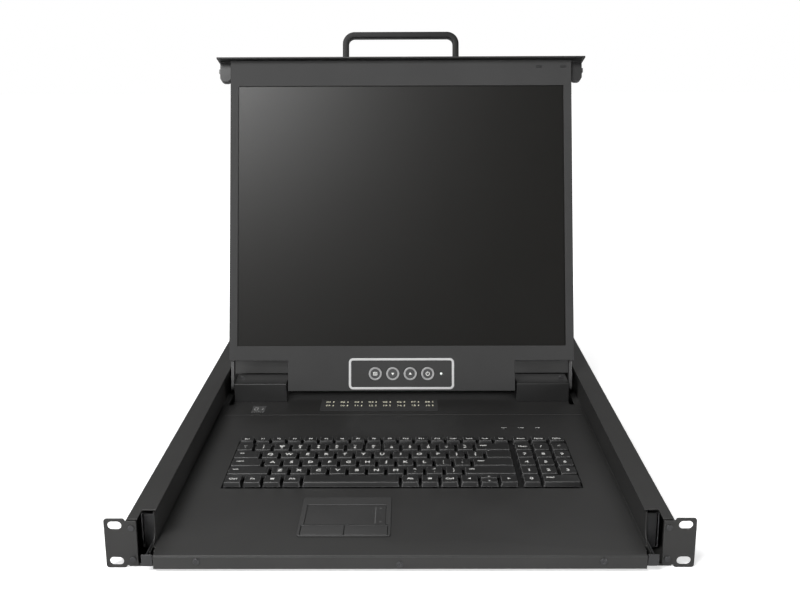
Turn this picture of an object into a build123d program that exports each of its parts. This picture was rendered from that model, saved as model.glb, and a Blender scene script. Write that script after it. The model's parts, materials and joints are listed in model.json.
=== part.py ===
from build123d import *
import os
from math import cos, radians, sin

# One-unit 19-inch rack console drawer with a built-in 16-port keyboard, video and mouse switch.
# Millimetres. +X is right, +Y is away from the person at the rack, +Z is up.
# The origin is the centre of the four rack slots, on the front face of the rack ears.
# Heights (names in H, and the argument of up) are counted from the lower edge of the ears.
# The display is shown open and leaning back, and the drawer is shown pushed in.

# ---- Rack panel, to the 19-inch rack standard ----
PANEL_WIDTH = 482.6
PANEL_HEIGHT = 43.66
SLOT_FROM_SIDE = 8.73
SLOT_FROM_END = 5.955
SLOT_WIDTH = 7.0
SLOT_LENGTH = 11.5
EAR_REACH = 18.3
EAR_SHEET = 1.5
EAR_INSET = 8.1
EAR_STEP = 2.0
EAR_TO_FLOOR = 0.4
EAR_CORNER = 2.5
EAR_LEG = 38.0
EAR_LEG_LOW_H = 4.0
EAR_LEG_TOP_H = 40.0
EAR_OVERLAP = 6.0
EAR_SEAM = 1.0

# ---- Sheet metal and general clearances ----
SHEET = 1.2
HOLE_CLEARANCE = 0.2
SLIP = 0.3

# ---- Case ----
CASE_UNDERSIDE_H = 0.4
CASE_TOP_H = 43.0
FLANGE = 20.5
FLANGE_STRIP = 9.0
NOTCH_DEPTH = 18.5
CASE_FOOT = 14.0
CASE_BEHIND = 20.0
CASE_CORNER = 0.9

# ---- Rivets, shouldered screws and rear brackets ----
RIVET_RADIUS = 1.6
EAR_RIVET_HEAD = 2.6
EAR_RIVET_HEAD_HEIGHT = 0.8
EAR_RIVET_FROM_WALL = 4.0
FLOOR_RIVET_HEAD = 3.0
FLOOR_RIVET_HEIGHT = 0.6
FLOOR_RIVET_FROM_WALL = 8.0
BRACKET_SHEET = 1.0
BRACKET_GAP = 0.2
BRACKET_BEHIND = 70.0
BRACKET_LOW_H = 6.0
BRACKET_TOP_H = 38.0
BRACKET_AHEAD = 75.0
BRACKET_SLOT_AHEAD = 65.0
BRACKET_SLOT_BEHIND = 45.0
BRACKET_SCREW_RADIUS = 2.4
BRACKET_SCREW_HEAD = 4.5
BRACKET_HEAD_HEIGHT = 0.6

# ---- Drawer ----
SLIDE_SPACE = 16.1
TRAY_UNDERSIDE_H = 2.8
TRAY_WALL_TOP_H = 40.0
TRAY_FRONT = 8.0
TRAY_NOTCH_H = 14.0
TRAY_NOTCH_DEPTH = 20.0
TRAY_NOTCH_RADIUS = 12.0
DECK_TOP_H = 15.0
DECK_SHEET = 1.5
DECK_SIDE_GAP = 2.5
FRONT_STRIP_INSET = 1.0
SEAM_BEFORE_HINGE = 49.5
SEAM_GAP = 0.5
REAR_BAY = 203.0
LEDGE_WIDTH = 4.0
LEDGE_START = 10.0

# ---- Cover of the rear bay ----
COVER_TOP_H = 42.6
COVER_EDGE_H = 36.0
COVER_LOW_H = 17.0
COVER_SIDE_LOW_H = 28.0
COVER_SLOPE = 17.0
COVER_SIDE_GAP = 1.5
COVER_BEHIND_BLOCK = 6.5
COVER_SCREW_X = 180.0
VENT_X = 90.0
VENT_LENGTH = 34.0
VENT_WIDTH = 3.6
VENT_PITCH = 9.0
VENT_ROW_SPACE = 44.0

# ---- Ball slides ----
SLIDE_FLOOR_GAP = 2.7
SLIDE_TOP_GAP = 4.3
SLIDE_SHEET = 1.0
SLIDE_START = 24.0
SLIDE_SHORT = 6.0
SLIDE_LIP_GAP = 1.9
BALL_GAP = 2.4
BALL_RADIUS = 0.9
CAGE_SHEET = 0.5
MEMBER_GAP = 0.5
MIDDLE_TO_EAR = 0.5
CAGE_LENGTH = 150.0
BALLS_PER_ROW = 8
CAGE_ARM = 0.8
CAGE_ARM_REACH = 2.0
OUTER_BALL_X = 5.0
INNER_BALL_X = 4.0
OUTER_CAGE_START = 130.0
INNER_CAGE_START = 306.0
TAB_LOW_H = 5.4
TAB_TOP_H = 15.7
TAB_REACH = 4.7
TAB_GAP = 0.6
STOP_GAP = 0.8
STOP_TOP_GAP = 0.5

# ---- Display ----
SCREEN_HEIGHT = 301.1
SCREEN_WIDTH = 376.3
SIDE_BEZEL = 9.35
LOWER_BEZEL = 17.0
TOP_BEZEL = 29.9
SCREEN_FROM_HINGE = 45.0
DISPLAY_THICKNESS = 20.0
DISPLAY_WALL = 1.5
SHELL_SPLIT_W = -1.0
TONGUE_WIDTH = 260.0
TONGUE_BELOW_HINGE = 6.7
OPEN_LEAN = 16.86
HINGE_H = 33.0
PLATE_SHEET = 2.0
PLATE_GAP = 2.4
PLATE_DEPTH = 28.0
PLATE_CLOSED_Y = -15.5
HANDLE_WIDTH = 134.0
HANDLE_RISE = 30.0
HANDLE_THICKNESS = 7.0
HANDLE_DEPTH = 9.5
HANDLE_CORNER = 10.2
HANDLE_EDGE = 1.4
HANDLE_FROM_BACK = 20.0

# ---- Latches of the front plate ----
LUG_LENGTH = 25.0
LUG_WIDTH = 12.5
LUG_GAP = 0.6
LUG_LOW_W = -8.0
LUG_HIGH_W = 4.0
LUG_CORNER = 5.0
BOLT_SIZE = 5.0
BOLT_UP_LUG = 13.0
BOLT_SPACE = 3.4
BOLT_REACH = 2.0

# ---- Display hinge ----
PIN_RADIUS = 2.5
PIN_CLEARANCE = 0.05
PIN_LENGTH = 9.5
BLOCK_WIDTH = 60.0
BLOCK_DEPTH = 35.0
BLOCK_TOP_H = 37.0
BLOCK_AHEAD_OF_HINGE = 7.0
ARM_SHEET = 3.0
ARM_WIDTH = 12.0
ARM_GAP = 0.6
ARM_WALL_GAP = 0.4
ARM_REACH = 40.0
BLOCK_CORNER = 1.2
BORE_DEEPER = 0.5

# ---- Screen buttons ----
BUTTON_PITCH = 20.0
BUTTON_RADIUS = 7.5
BUTTON_GAP = 0.35
BUTTON_S = 13.2
TRIM_WIDTH = 120.4
TRIM_HEIGHT = 35.6
TRIM_LINE = 2.6
TRIM_CORNER = 4.5
TRIM_HEIGHT_OVER_FACE = 0.4
BUTTON_FLANGE = 1.2
BUTTON_FLANGE_W = 5.4
BUTTON_RISE = 0.8
LIGHT_RADIUS = 1.5
LIGHT_X = 45.4
BOARD_W = 1.4
BOARD_SHEET = 1.6
BOARD_POST_X = 48.0

# ---- Keyboard ----
KEY_PITCH = 18.55
ROW_PITCH = 19.6
KEY_GAP = 1.4
KEY_TOP_H = 20.0
KEY_SKIRT_H = 15.6
KEY_TAPER = 14.0
KEY_CORNER = 1.6
KEYPAD_SPACE = 2.8
FUNCTION_DEPTH = 15.5
FUNCTION_SPACE = 3.5
KEYBOARD_LEFT = -167.1
KEYBOARD_FRONT = 121.6
STEM_RADIUS = 2.4
STEM_END_H = 8.6
KEYBOARD_PLATE_TOP_H = 12.5
KEYBOARD_PLATE_SHEET = 2.0
KEYBOARD_BORDER = 4.0
KEYBOARD_WALL = 2.0
FUNCTION_KEYS = 17

# ---- Touchpad ----
TOUCHPAD_X = -47.7
TOUCHPAD_FRONT = 24.0
TOUCHPAD_WIDTH = 79.4
TOUCHPAD_DEPTH = 75.0
TOUCHPAD_RIM = 1.3
PAD_WIDTH = 70.0
PAD_DEPTH = 39.0
PAD_BEHIND = 15.5
PAD_BUTTON_DEPTH = 16.5
PAD_BUTTON_SPACE = 1.4
PAD_BUTTON_LOW = 0.4
PAD_BUTTON_HEIGHT = 1.5
PAD_EDGE = 3.0
PAD_RISE = 0.7
PAD_BOARD = 1.4

# ---- Lights and station display ----
LOCK_LIGHT_FROM_RIGHT = 59.5
LOCK_LIGHT_PITCH = 18.0
LOCK_LIGHT_BEHIND = 31.0
PORT_LIGHT_X = -25.3
PORT_LIGHT_PITCH = 16.2
PORT_LIGHT_ROW_SPACE = 11.6
PORT_LIGHT_WIDTH = 8.0
PORT_LIGHT_DEPTH = 3.0
PORT_LIGHT_FROM_HINGE = 15.2
OVERLAY_DEPTH = 34.0
OVERLAY_BORDER = 2.0
OVERLAY_SHEET = 0.3
OVERLAY_FROM_HINGE = 19.0
STATION_WIDTH = 15.0
STATION_DEPTH = 19.0
STATION_FROM_SIDE = 41.0
STATION_FROM_HINGE = 31.0
STATION_RISE = 0.4

# ---- Sockets on the back ----
PORT_COLUMNS = 8
PORT_PITCH = 33.5
PORT_ROW_SPACE = 17.5
PORT_CENTRE_X = 20.0
INLET_X = -165.0
SOCKET_H = 22.0
PORT_BODY = (19.0, 10.0)
PORT_FLANGE = (30.8, 12.4)
PORT_SHELL = (17.0, 8.4)
PORT_BODY_DEPTH = 11.0
PORT_FLANGE_SHEET = 1.0
PORT_SHELL_LENGTH = 5.5
INLET_BODY = (27.0, 19.6)
INLET_FLANGE = (31.0, 24.0)
INLET_CAVITY = (24.0, 16.4)
INLET_BODY_DEPTH = 20.0
INLET_FLANGE_SHEET = 2.0
INLET_CAVITY_DEPTH = 16.0
INLET_BLADE_LENGTH = 10.5
CUTOUT_GAP = 0.4

# ---- Worked-out places ----
SLOT_SPACING_X = PANEL_WIDTH - 2 * SLOT_FROM_SIDE
SLOT_SPACING_Z = PANEL_HEIGHT - 2 * SLOT_FROM_END
CASE_HALF = PANEL_WIDTH / 2 - EAR_REACH
WALL_IN = CASE_HALF - SHEET
TRAY_OUT = WALL_IN - SLIDE_SPACE
TRAY_IN = TRAY_OUT - SHEET
DECK_HALF = TRAY_IN - DECK_SIDE_GAP
STRIP_HALF = DECK_HALF - FRONT_STRIP_INSET
EAR_IN = CASE_HALF - EAR_INSET
FLANGE_IN = CASE_HALF - FLANGE
DISPLAY_HALF = SCREEN_WIDTH / 2 + SIDE_BEZEL
FACE_W = DISPLAY_THICKNESS / 2
BACK_W = -DISPLAY_THICKNESS / 2
DISPLAY_LOW_S = SCREEN_FROM_HINGE - LOWER_BEZEL
DISPLAY_HIGH_S = SCREEN_FROM_HINGE + SCREEN_HEIGHT + TOP_BEZEL
PLATE_S = DISPLAY_HIGH_S + PLATE_SHEET
HINGE_Y = PLATE_S + PLATE_CLOSED_Y
SEAM_Y = HINGE_Y - SEAM_BEFORE_HINGE
BLOCK_FRONT = HINGE_Y - BLOCK_AHEAD_OF_HINGE
BLOCK_BACK = BLOCK_FRONT + BLOCK_DEPTH
COVER_FRONT = BLOCK_BACK + COVER_BEHIND_BLOCK
DRAWER_REAR = COVER_FRONT + REAR_BAY
CASE_REAR = DRAWER_REAR + CASE_BEHIND
CASE_FLOOR_H = CASE_UNDERSIDE_H + SHEET
TRAY_FLOOR_H = TRAY_UNDERSIDE_H + SHEET
DECK_UNDER_H = DECK_TOP_H - DECK_SHEET
PLATE_WIDTH = 2 * (EAR_IN - PLATE_GAP)
SLIDE_LOW_H = CASE_FLOOR_H + SHEET + SLIDE_FLOOR_GAP
SLIDE_HIGH_H = CASE_TOP_H - SHEET - SLIDE_TOP_GAP
SLIDE_H = (SLIDE_LOW_H + SLIDE_HIGH_H) / 2
SLIDE_HEIGHT = SLIDE_HIGH_H - SLIDE_LOW_H
SLIDE_END = DRAWER_REAR - SLIDE_SHORT
ARM_OUT = DISPLAY_HALF - DISPLAY_WALL - ARM_WALL_GAP
ARM_IN = ARM_OUT - ARM_SHEET
BLOCK_OUT = ARM_IN - ARM_GAP
BLOCK_IN = BLOCK_OUT - BLOCK_WIDTH
KEYBOARD_BACK = KEYBOARD_FRONT + 5 * ROW_PITCH + FUNCTION_SPACE + FUNCTION_DEPTH
KEYBOARD_RIGHT = KEYBOARD_LEFT + 18 * KEY_PITCH + KEYPAD_SPACE
FRONT_SCREW_X = 165.6

# Places of fasteners, shared by the screws and the holes that they pass through.
EAR_RIVETS = [(CASE_HALF - EAR_RIVET_FROM_WALL, h) for h in (CASE_FLOOR_H + 5.9, CASE_TOP_H - 7.5)]
FLOOR_RIVETS = [(CASE_HALF - FLOOR_RIVET_FROM_WALL, CASE_REAR * share) for share in (0.08, 0.36, 0.64, 0.96)]
BRACKET_SCREW_Y = [CASE_REAR - 60.0, CASE_REAR - 20.0]
FRONT_SCREWS = [(-FRONT_SCREW_X, 9.6), (0.0, 7.0), (FRONT_SCREW_X, 9.6)]
COVER_SCREWS = [(x, y) for x in (-COVER_SCREW_X, COVER_SCREW_X) for y in (COVER_FRONT + 30, DRAWER_REAR - 25)]
LOCK_LIGHTS = [
    (KEYBOARD_RIGHT - LOCK_LIGHT_FROM_RIGHT + LOCK_LIGHT_PITCH * i, KEYBOARD_BACK + LOCK_LIGHT_BEHIND)
    for i in range(3)
]
STATION_X = STATION_FROM_SIDE - DECK_HALF
STATION_Y = HINGE_Y - STATION_FROM_HINGE
PORT_ROWS_H = (SOCKET_H - PORT_ROW_SPACE / 2, SOCKET_H + PORT_ROW_SPACE / 2)
PORT_PLACES = [
    (PORT_CENTRE_X + PORT_PITCH * (i - (PORT_COLUMNS - 1) / 2), h)
    for i in range(PORT_COLUMNS) for h in PORT_ROWS_H
]
CONSOLE_PLACE = (PORT_CENTRE_X + PORT_PITCH * (PORT_COLUMNS + 1) / 2, PORT_ROWS_H[0])
BUTTON_PLACES = [((i - 1.5) * BUTTON_PITCH, BUTTON_S) for i in range(4)]
BUTTON_NAMES = ("menu_button", "down_button", "up_button", "power_button")
LIGHT_PLACE = (LIGHT_X, BUTTON_S)

# Ball slide members, right-hand side.
INNER_WEB = TRAY_OUT
MIDDLE_WEB = EAR_IN - MIDDLE_TO_EAR - SLIDE_SHEET
OUTER_WEB = MIDDLE_WEB + SLIDE_SHEET + MEMBER_GAP + CAGE_SHEET + MEMBER_GAP
OUTER_HALF = SLIDE_HEIGHT / 2
MIDDLE_HALF = OUTER_HALF - SLIDE_SHEET - BALL_GAP
INNER_HALF = MIDDLE_HALF - SLIDE_SHEET - BALL_GAP
SLIDE_LIP = TRAY_OUT + SLIDE_LIP_GAP
INNER_LIP = MIDDLE_WEB - 2 * MEMBER_GAP - CAGE_SHEET

# Pad and latch lugs.
PAD_Y = TOUCHPAD_FRONT + TOUCHPAD_DEPTH - PAD_BEHIND - PAD_DEPTH / 2
PAD_BUTTON_Y = PAD_Y - PAD_DEPTH / 2 - PAD_BUTTON_SPACE - PAD_BUTTON_DEPTH / 2
PAD_BUTTON_WIDTH = (TOUCHPAD_WIDTH - 2 * PAD_EDGE) / 2
LUG_LOW_S = PLATE_S - LUG_LENGTH
LUG_IN = DISPLAY_HALF + LUG_GAP
LUG_OUT = LUG_IN + LUG_WIDTH
BOLT_PLACE_S = LUG_LOW_S + BOLT_UP_LUG


def up(h):
    """Z of a height that is counted from the lower edge of the ears."""
    return h - PANEL_HEIGHT / 2


def slab(low, high, mode=Mode.ADD):
    """A box between two corners (x, y, height), in the part being built."""
    size = [b - a for a, b in zip(low, high)]
    with Locations(((low[0] + high[0]) / 2, (low[1] + high[1]) / 2, up((low[2] + high[2]) / 2))):
        Box(*size, mode=mode)


def display_plane(w):
    """Plane of the open display: x to the right, y up the screen from the hinge axis, w to the viewer."""
    lean = radians(OPEN_LEAN)
    hinge = Plane(origin=(0, HINGE_Y, up(HINGE_H)), x_dir=(1, 0, 0), z_dir=(0, -cos(lean), sin(lean)))
    return hinge.offset(w)


FACE_AXIS = Axis((0, 0, 0), (0, -cos(radians(OPEN_LEAN)), sin(radians(OPEN_LEAN))))


def facing(y):
    """Upright plane across the drawer at depth y: x to the right, y up. Extrude by a minus amount for +Y."""
    return Plane.XZ.offset(-y)


def save(piece, label):
    """Name a finished piece and write its STEP file."""
    piece.label = label
    export_step(piece, f"parts/{label}.step")


def save_pair(right, label):
    """Write a right-hand piece and its mirror image as the left-hand piece."""
    save(mirror(right, about=Plane.YZ), f"{label}_left")
    save(right, f"{label}_right")


# ---------------------------------------------------------------- case

def case_floor():
    with BuildPart() as floor:
        with BuildSketch(Plane.XY.offset(up(CASE_UNDERSIDE_H))):
            with Locations((0, (EAR_SHEET + CASE_REAR) / 2)):
                Rectangle(2 * CASE_HALF, CASE_REAR - EAR_SHEET)
            with Locations((0, CASE_REAR - 90)):
                with GridLocations(24, 16, 10, 4):
                    SlotOverall(18, 4, mode=Mode.SUBTRACT)
            with Locations(*[(side * x, y) for side in (-1, 1) for x, y in FLOOR_RIVETS]):
                Circle(RIVET_RADIUS + HOLE_CLEARANCE, mode=Mode.SUBTRACT)
        extrude(amount=SHEET)
    save(floor.part, "case_floor")


def case_side():
    """C-shaped side wall: top flange with a notch at the front, foot on the floor, front tab for the ear."""
    with BuildPart() as side:
        slab((WALL_IN, EAR_SHEET, CASE_FLOOR_H), (CASE_HALF, CASE_REAR, CASE_TOP_H))
        with BuildSketch(Plane.XY.offset(up(CASE_TOP_H - SHEET))):
            with BuildLine():
                Polyline(
                    (CASE_HALF, EAR_SHEET), (CASE_HALF, CASE_REAR), (FLANGE_IN, CASE_REAR),
                    (FLANGE_IN, NOTCH_DEPTH), (CASE_HALF - FLANGE_STRIP, NOTCH_DEPTH),
                    (CASE_HALF - FLANGE_STRIP, EAR_SHEET), close=True,
                )
            make_face()
        extrude(amount=SHEET)
        slab((CASE_HALF - CASE_FOOT, EAR_SHEET, CASE_FLOOR_H), (CASE_HALF, CASE_REAR, CASE_FLOOR_H + SHEET))
        slab((EAR_IN, EAR_SHEET, CASE_FLOOR_H + SHEET), (CASE_HALF, EAR_SHEET + SHEET, CASE_TOP_H - EAR_STEP))
        outer_corner = side.edges().filter_by(Axis.Y).group_by(Axis.Z)[-1].sort_by(Axis.X)[-1]
        fillet(outer_corner, CASE_CORNER)
        with Locations(*[(x, y, up(CASE_FLOOR_H + SHEET / 2)) for x, y in FLOOR_RIVETS]):
            Cylinder(RIVET_RADIUS + HOLE_CLEARANCE, 2 * SHEET, mode=Mode.SUBTRACT)
        with BuildSketch(facing(EAR_SHEET)):
            with Locations(*[(x, up(h)) for x, h in EAR_RIVETS]):
                Circle(RIVET_RADIUS + HOLE_CLEARANCE)
        extrude(amount=-SHEET, mode=Mode.SUBTRACT)
        with BuildSketch(Plane.YZ.offset(WALL_IN)):
            with Locations(*[(y, 0) for y in BRACKET_SCREW_Y]):
                Circle(BRACKET_SCREW_RADIUS + HOLE_CLEARANCE)
        extrude(amount=SHEET, mode=Mode.SUBTRACT)
    save_pair(side.part, "case_side")


def ear_slots():
    """The two rack slots of one side, in the sketch being built."""
    with Locations(*[(SLOT_SPACING_X / 2, side * SLOT_SPACING_Z / 2) for side in (-1, 1)]):
        SlotOverall(SLOT_LENGTH, SLOT_WIDTH, mode=Mode.SUBTRACT)


def rack_ear():
    """Front ear: flat plate with two rack slots, and a leg welded along the case wall."""
    plate_low, plate_top = up(CASE_FLOOR_H + EAR_TO_FLOOR), up(PANEL_HEIGHT - EAR_STEP)
    with BuildPart() as ear:
        with BuildSketch(facing(0)):
            with Locations(((CASE_HALF + EAR_SEAM + PANEL_WIDTH / 2) / 2, 0)):
                RectangleRounded(PANEL_WIDTH / 2 - CASE_HALF - EAR_SEAM, PANEL_HEIGHT, EAR_CORNER)
            with Locations(((EAR_IN + CASE_HALF + EAR_OVERLAP) / 2, (plate_top + plate_low) / 2)):
                Rectangle(CASE_HALF + EAR_OVERLAP - EAR_IN, plate_top - plate_low)
            ear_slots()
            with Locations(*[(x, up(h)) for x, h in EAR_RIVETS]):
                Circle(RIVET_RADIUS + HOLE_CLEARANCE, mode=Mode.SUBTRACT)
        extrude(amount=-EAR_SHEET)
        slab((CASE_HALF, 0, EAR_LEG_LOW_H), (CASE_HALF + EAR_SHEET, EAR_LEG, EAR_LEG_TOP_H))
    save_pair(ear.part, "rack_ear")


def rear_bracket():
    """Adjustable rear ear: a slotted leg that slides on two shouldered screws, and a plate with rack slots."""
    leg_in = CASE_HALF + BRACKET_GAP
    leg_out = leg_in + BRACKET_SHEET
    face_y = CASE_REAR + BRACKET_BEHIND
    slot_start = BRACKET_SCREW_Y[0] - BRACKET_SLOT_AHEAD
    slot_end = BRACKET_SCREW_Y[1] + BRACKET_SLOT_BEHIND
    with BuildPart() as bracket:
        with BuildSketch(facing(face_y)):
            with Locations(((leg_in + PANEL_WIDTH / 2) / 2, 0)):
                Rectangle(PANEL_WIDTH / 2 - leg_in, PANEL_HEIGHT)
            ear_slots()
        extrude(amount=EAR_SHEET)
        outer = bracket.edges().filter_by(Axis.Y).group_by(Axis.X)[-1]
        fillet(outer, EAR_CORNER)
        slab((leg_in, BRACKET_SCREW_Y[0] - BRACKET_AHEAD, BRACKET_LOW_H), (leg_out, face_y, BRACKET_TOP_H))
        with BuildSketch(Plane.YZ.offset(leg_in)):
            with Locations(((slot_start + slot_end) / 2, 0)):
                SlotOverall(slot_end - slot_start, 2 * (BRACKET_SCREW_RADIUS + SLIP))
        extrude(amount=BRACKET_SHEET, mode=Mode.SUBTRACT)
    save_pair(bracket.part, "rear_bracket")


def case_screws():
    """Rivets of the floor and the ears, and the shouldered screws that guide the rear brackets."""
    sides = (-1, 1)
    shank = SHEET + BRACKET_GAP + BRACKET_SHEET + BRACKET_GAP + BRACKET_HEAD_HEIGHT / 2
    head_x = CASE_HALF + BRACKET_GAP + BRACKET_SHEET + BRACKET_GAP + BRACKET_HEAD_HEIGHT / 2
    with BuildPart() as screws:
        with BuildSketch(Plane.XY.offset(up(CASE_UNDERSIDE_H))):
            with Locations(*[(side * x, y) for side in sides for x, y in FLOOR_RIVETS]):
                Circle(RIVET_RADIUS)
        extrude(amount=2 * SHEET)
        with BuildSketch(Plane.XY.offset(up(CASE_FLOOR_H + SHEET))):
            with Locations(*[(side * x, y) for side in sides for x, y in FLOOR_RIVETS]):
                Circle(FLOOR_RIVET_HEAD)
        extrude(amount=FLOOR_RIVET_HEIGHT)
        with BuildSketch(facing(0)):
            with Locations(*[(side * x, up(h)) for side in sides for x, h in EAR_RIVETS]):
                Circle(EAR_RIVET_HEAD)
        extrude(amount=EAR_RIVET_HEAD_HEIGHT)
        with BuildSketch(facing(0)):
            with Locations(*[(side * x, up(h)) for side in sides for x, h in EAR_RIVETS]):
                Circle(RIVET_RADIUS)
        extrude(amount=-EAR_SHEET - SHEET)
        for side in sides:
            for y in BRACKET_SCREW_Y:
                with Locations(Location((side * (WALL_IN + shank / 2), y, 0), (0, 90, 0))):
                    Cylinder(BRACKET_SCREW_RADIUS, shank)
                with Locations(Location((side * head_x, y, 0), (0, 90, 0))):
                    Cylinder(BRACKET_SCREW_HEAD, BRACKET_HEAD_HEIGHT)
    save(screws.part, "case_screws")


# ---------------------------------------------------------------- ball slides

def channel(web_x, lip_x, half, start, end):
    """A C-shaped slide member between two depths, in the part being built."""
    web_far = web_x + SLIDE_SHEET
    low, high = min(web_x, lip_x), max(web_far, lip_x)
    slab((web_x, start, SLIDE_H - half), (web_far, end, SLIDE_H + half))
    slab((low, start, SLIDE_H - half), (high, end, SLIDE_H - half + SLIDE_SHEET))
    slab((low, start, SLIDE_H + half - SLIDE_SHEET), (high, end, SLIDE_H + half))


def slide_outer():
    """Fixed slide member, held off the case wall by three pads."""
    with BuildPart() as outer:
        channel(OUTER_WEB, SLIDE_LIP, OUTER_HALF, SLIDE_START, SLIDE_END)
        for y in (SLIDE_START + 30, (SLIDE_START + SLIDE_END) / 2, SLIDE_END - 30):
            slab((OUTER_WEB + SLIDE_SHEET, y - 12, SLIDE_H - 8), (WALL_IN, y + 12, SLIDE_H + 8))
    save_pair(outer.part, "slide_outer")


def slide_middle():
    with BuildPart() as middle:
        channel(MIDDLE_WEB, SLIDE_LIP, MIDDLE_HALF, SLIDE_START, SLIDE_END)
    save_pair(middle.part, "slide_middle")


def slide_inner():
    """Slide member on the drawer wall, with a bent stop plate, an arm and an end tab beside the front strip."""
    with BuildPart() as inner:
        channel(INNER_WEB, INNER_LIP, INNER_HALF, SLIDE_START, SLIDE_END)
        slab((INNER_WEB, -TRAY_FRONT, TAB_LOW_H), (INNER_WEB + SLIDE_SHEET, SLIDE_START + 10, TAB_TOP_H))
        slab((STRIP_HALF + TAB_GAP, -TRAY_FRONT, TAB_LOW_H),
             (TRAY_OUT + TAB_REACH, SHEET - TRAY_FRONT, TAB_TOP_H))
        stop = SLIDE_START - STOP_GAP - SLIDE_SHEET
        slab((INNER_WEB, stop, SLIDE_H - INNER_HALF), (INNER_WEB + SLIDE_SHEET, SLIDE_START + 1, SLIDE_H + INNER_HALF))
        slab((INNER_WEB, stop, SLIDE_H - OUTER_HALF + STOP_TOP_GAP),
             (MIDDLE_WEB + SLIDE_SHEET, stop + SLIDE_SHEET, SLIDE_H + OUTER_HALF))
        tab_corners = inner.edges().filter_by(Axis.Y).group_by(Axis.Y)[0].group_by(Axis.Z)[0]
        chamfer(tab_corners.sort_by(Axis.X)[-1], 1.5)
    save_pair(inner.part, "slide_inner")


def ball_cage(label, web_x, ball_x, arm_mid, start):
    """U-shaped ball retainer with a row of balls in its upper and its lower arm."""
    half = arm_mid + CAGE_ARM / 2
    reach = ball_x - CAGE_ARM_REACH
    end = start + CAGE_LENGTH
    margin = 10.0
    step = (CAGE_LENGTH - 2 * margin) / (BALLS_PER_ROW - 1)
    with BuildPart() as cage:
        slab((web_x, start, SLIDE_H - half), (web_x + CAGE_SHEET, end, SLIDE_H + half))
        for side in (-1, 1):
            mid = SLIDE_H + side * arm_mid
            slab((reach, start, mid - CAGE_ARM / 2), (web_x + CAGE_SHEET, end, mid + CAGE_ARM / 2))
            with Locations(*[(ball_x, start + margin + i * step, up(mid)) for i in range(BALLS_PER_ROW)]):
                Sphere(BALL_RADIUS)
    save_pair(cage.part, label)


def ball_cages():
    outer_mid = OUTER_HALF - SLIDE_SHEET - BALL_GAP / 2
    inner_mid = MIDDLE_HALF - SLIDE_SHEET - BALL_GAP / 2
    outer_web = MIDDLE_WEB + SLIDE_SHEET + MEMBER_GAP
    inner_web = MIDDLE_WEB - MEMBER_GAP - CAGE_SHEET
    ball_cage("outer_ball_cage", outer_web, TRAY_OUT + OUTER_BALL_X, outer_mid, SLIDE_START + OUTER_CAGE_START)
    ball_cage("inner_ball_cage", inner_web, TRAY_OUT + INNER_BALL_X, inner_mid, SLIDE_START + INNER_CAGE_START)


# ---------------------------------------------------------------- drawer

def drawer_tray():
    """Folded tray: floor, two side walls with a rounded notch at the front, front strip and deck ledges."""
    wall_low, wall_top = up(TRAY_UNDERSIDE_H), up(TRAY_WALL_TOP_H)
    notch_low, notch_high = up(TRAY_NOTCH_H), up(TRAY_NOTCH_H + TRAY_NOTCH_RADIUS)
    notch_end = TRAY_NOTCH_DEPTH - TRAY_NOTCH_RADIUS
    with BuildPart() as tray:
        slab((-TRAY_OUT, 0, TRAY_UNDERSIDE_H), (TRAY_OUT, DRAWER_REAR, TRAY_FLOOR_H))
        slab((-STRIP_HALF, -TRAY_FRONT, TRAY_UNDERSIDE_H), (STRIP_HALF, 0, TRAY_FLOOR_H))
        slab((-STRIP_HALF, -TRAY_FRONT, TRAY_UNDERSIDE_H), (STRIP_HALF, SHEET - TRAY_FRONT, DECK_UNDER_H))
        with BuildSketch(Plane.YZ.offset(TRAY_IN)) as wall:
            with BuildLine():
                Polyline((0, wall_low), (0, notch_low), (notch_end, notch_low))
                RadiusArc((notch_end, notch_low), (TRAY_NOTCH_DEPTH, notch_high), -TRAY_NOTCH_RADIUS)
                Polyline((TRAY_NOTCH_DEPTH, notch_high), (TRAY_NOTCH_DEPTH, wall_top),
                         (DRAWER_REAR, wall_top), (DRAWER_REAR, wall_low), (0, wall_low))
            make_face()
        extrude(amount=SHEET)
        slab((DECK_HALF - LEDGE_WIDTH, LEDGE_START, DECK_UNDER_H - SHEET), (TRAY_IN, BLOCK_BACK, DECK_UNDER_H))
        with BuildSketch(Plane.YZ.offset(-TRAY_OUT)):
            add(wall.sketch_local)
        extrude(amount=SHEET)
        slab((-TRAY_IN, LEDGE_START, DECK_UNDER_H - SHEET), (LEDGE_WIDTH - DECK_HALF, BLOCK_BACK, DECK_UNDER_H))
        with BuildSketch(facing(-TRAY_FRONT)):
            with Locations(*[(x, up(h)) for x, h in FRONT_SCREWS]):
                Circle(1.4 + HOLE_CLEARANCE)
        extrude(amount=-SHEET, mode=Mode.SUBTRACT)
    save(tray.part, "drawer_tray")


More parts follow.
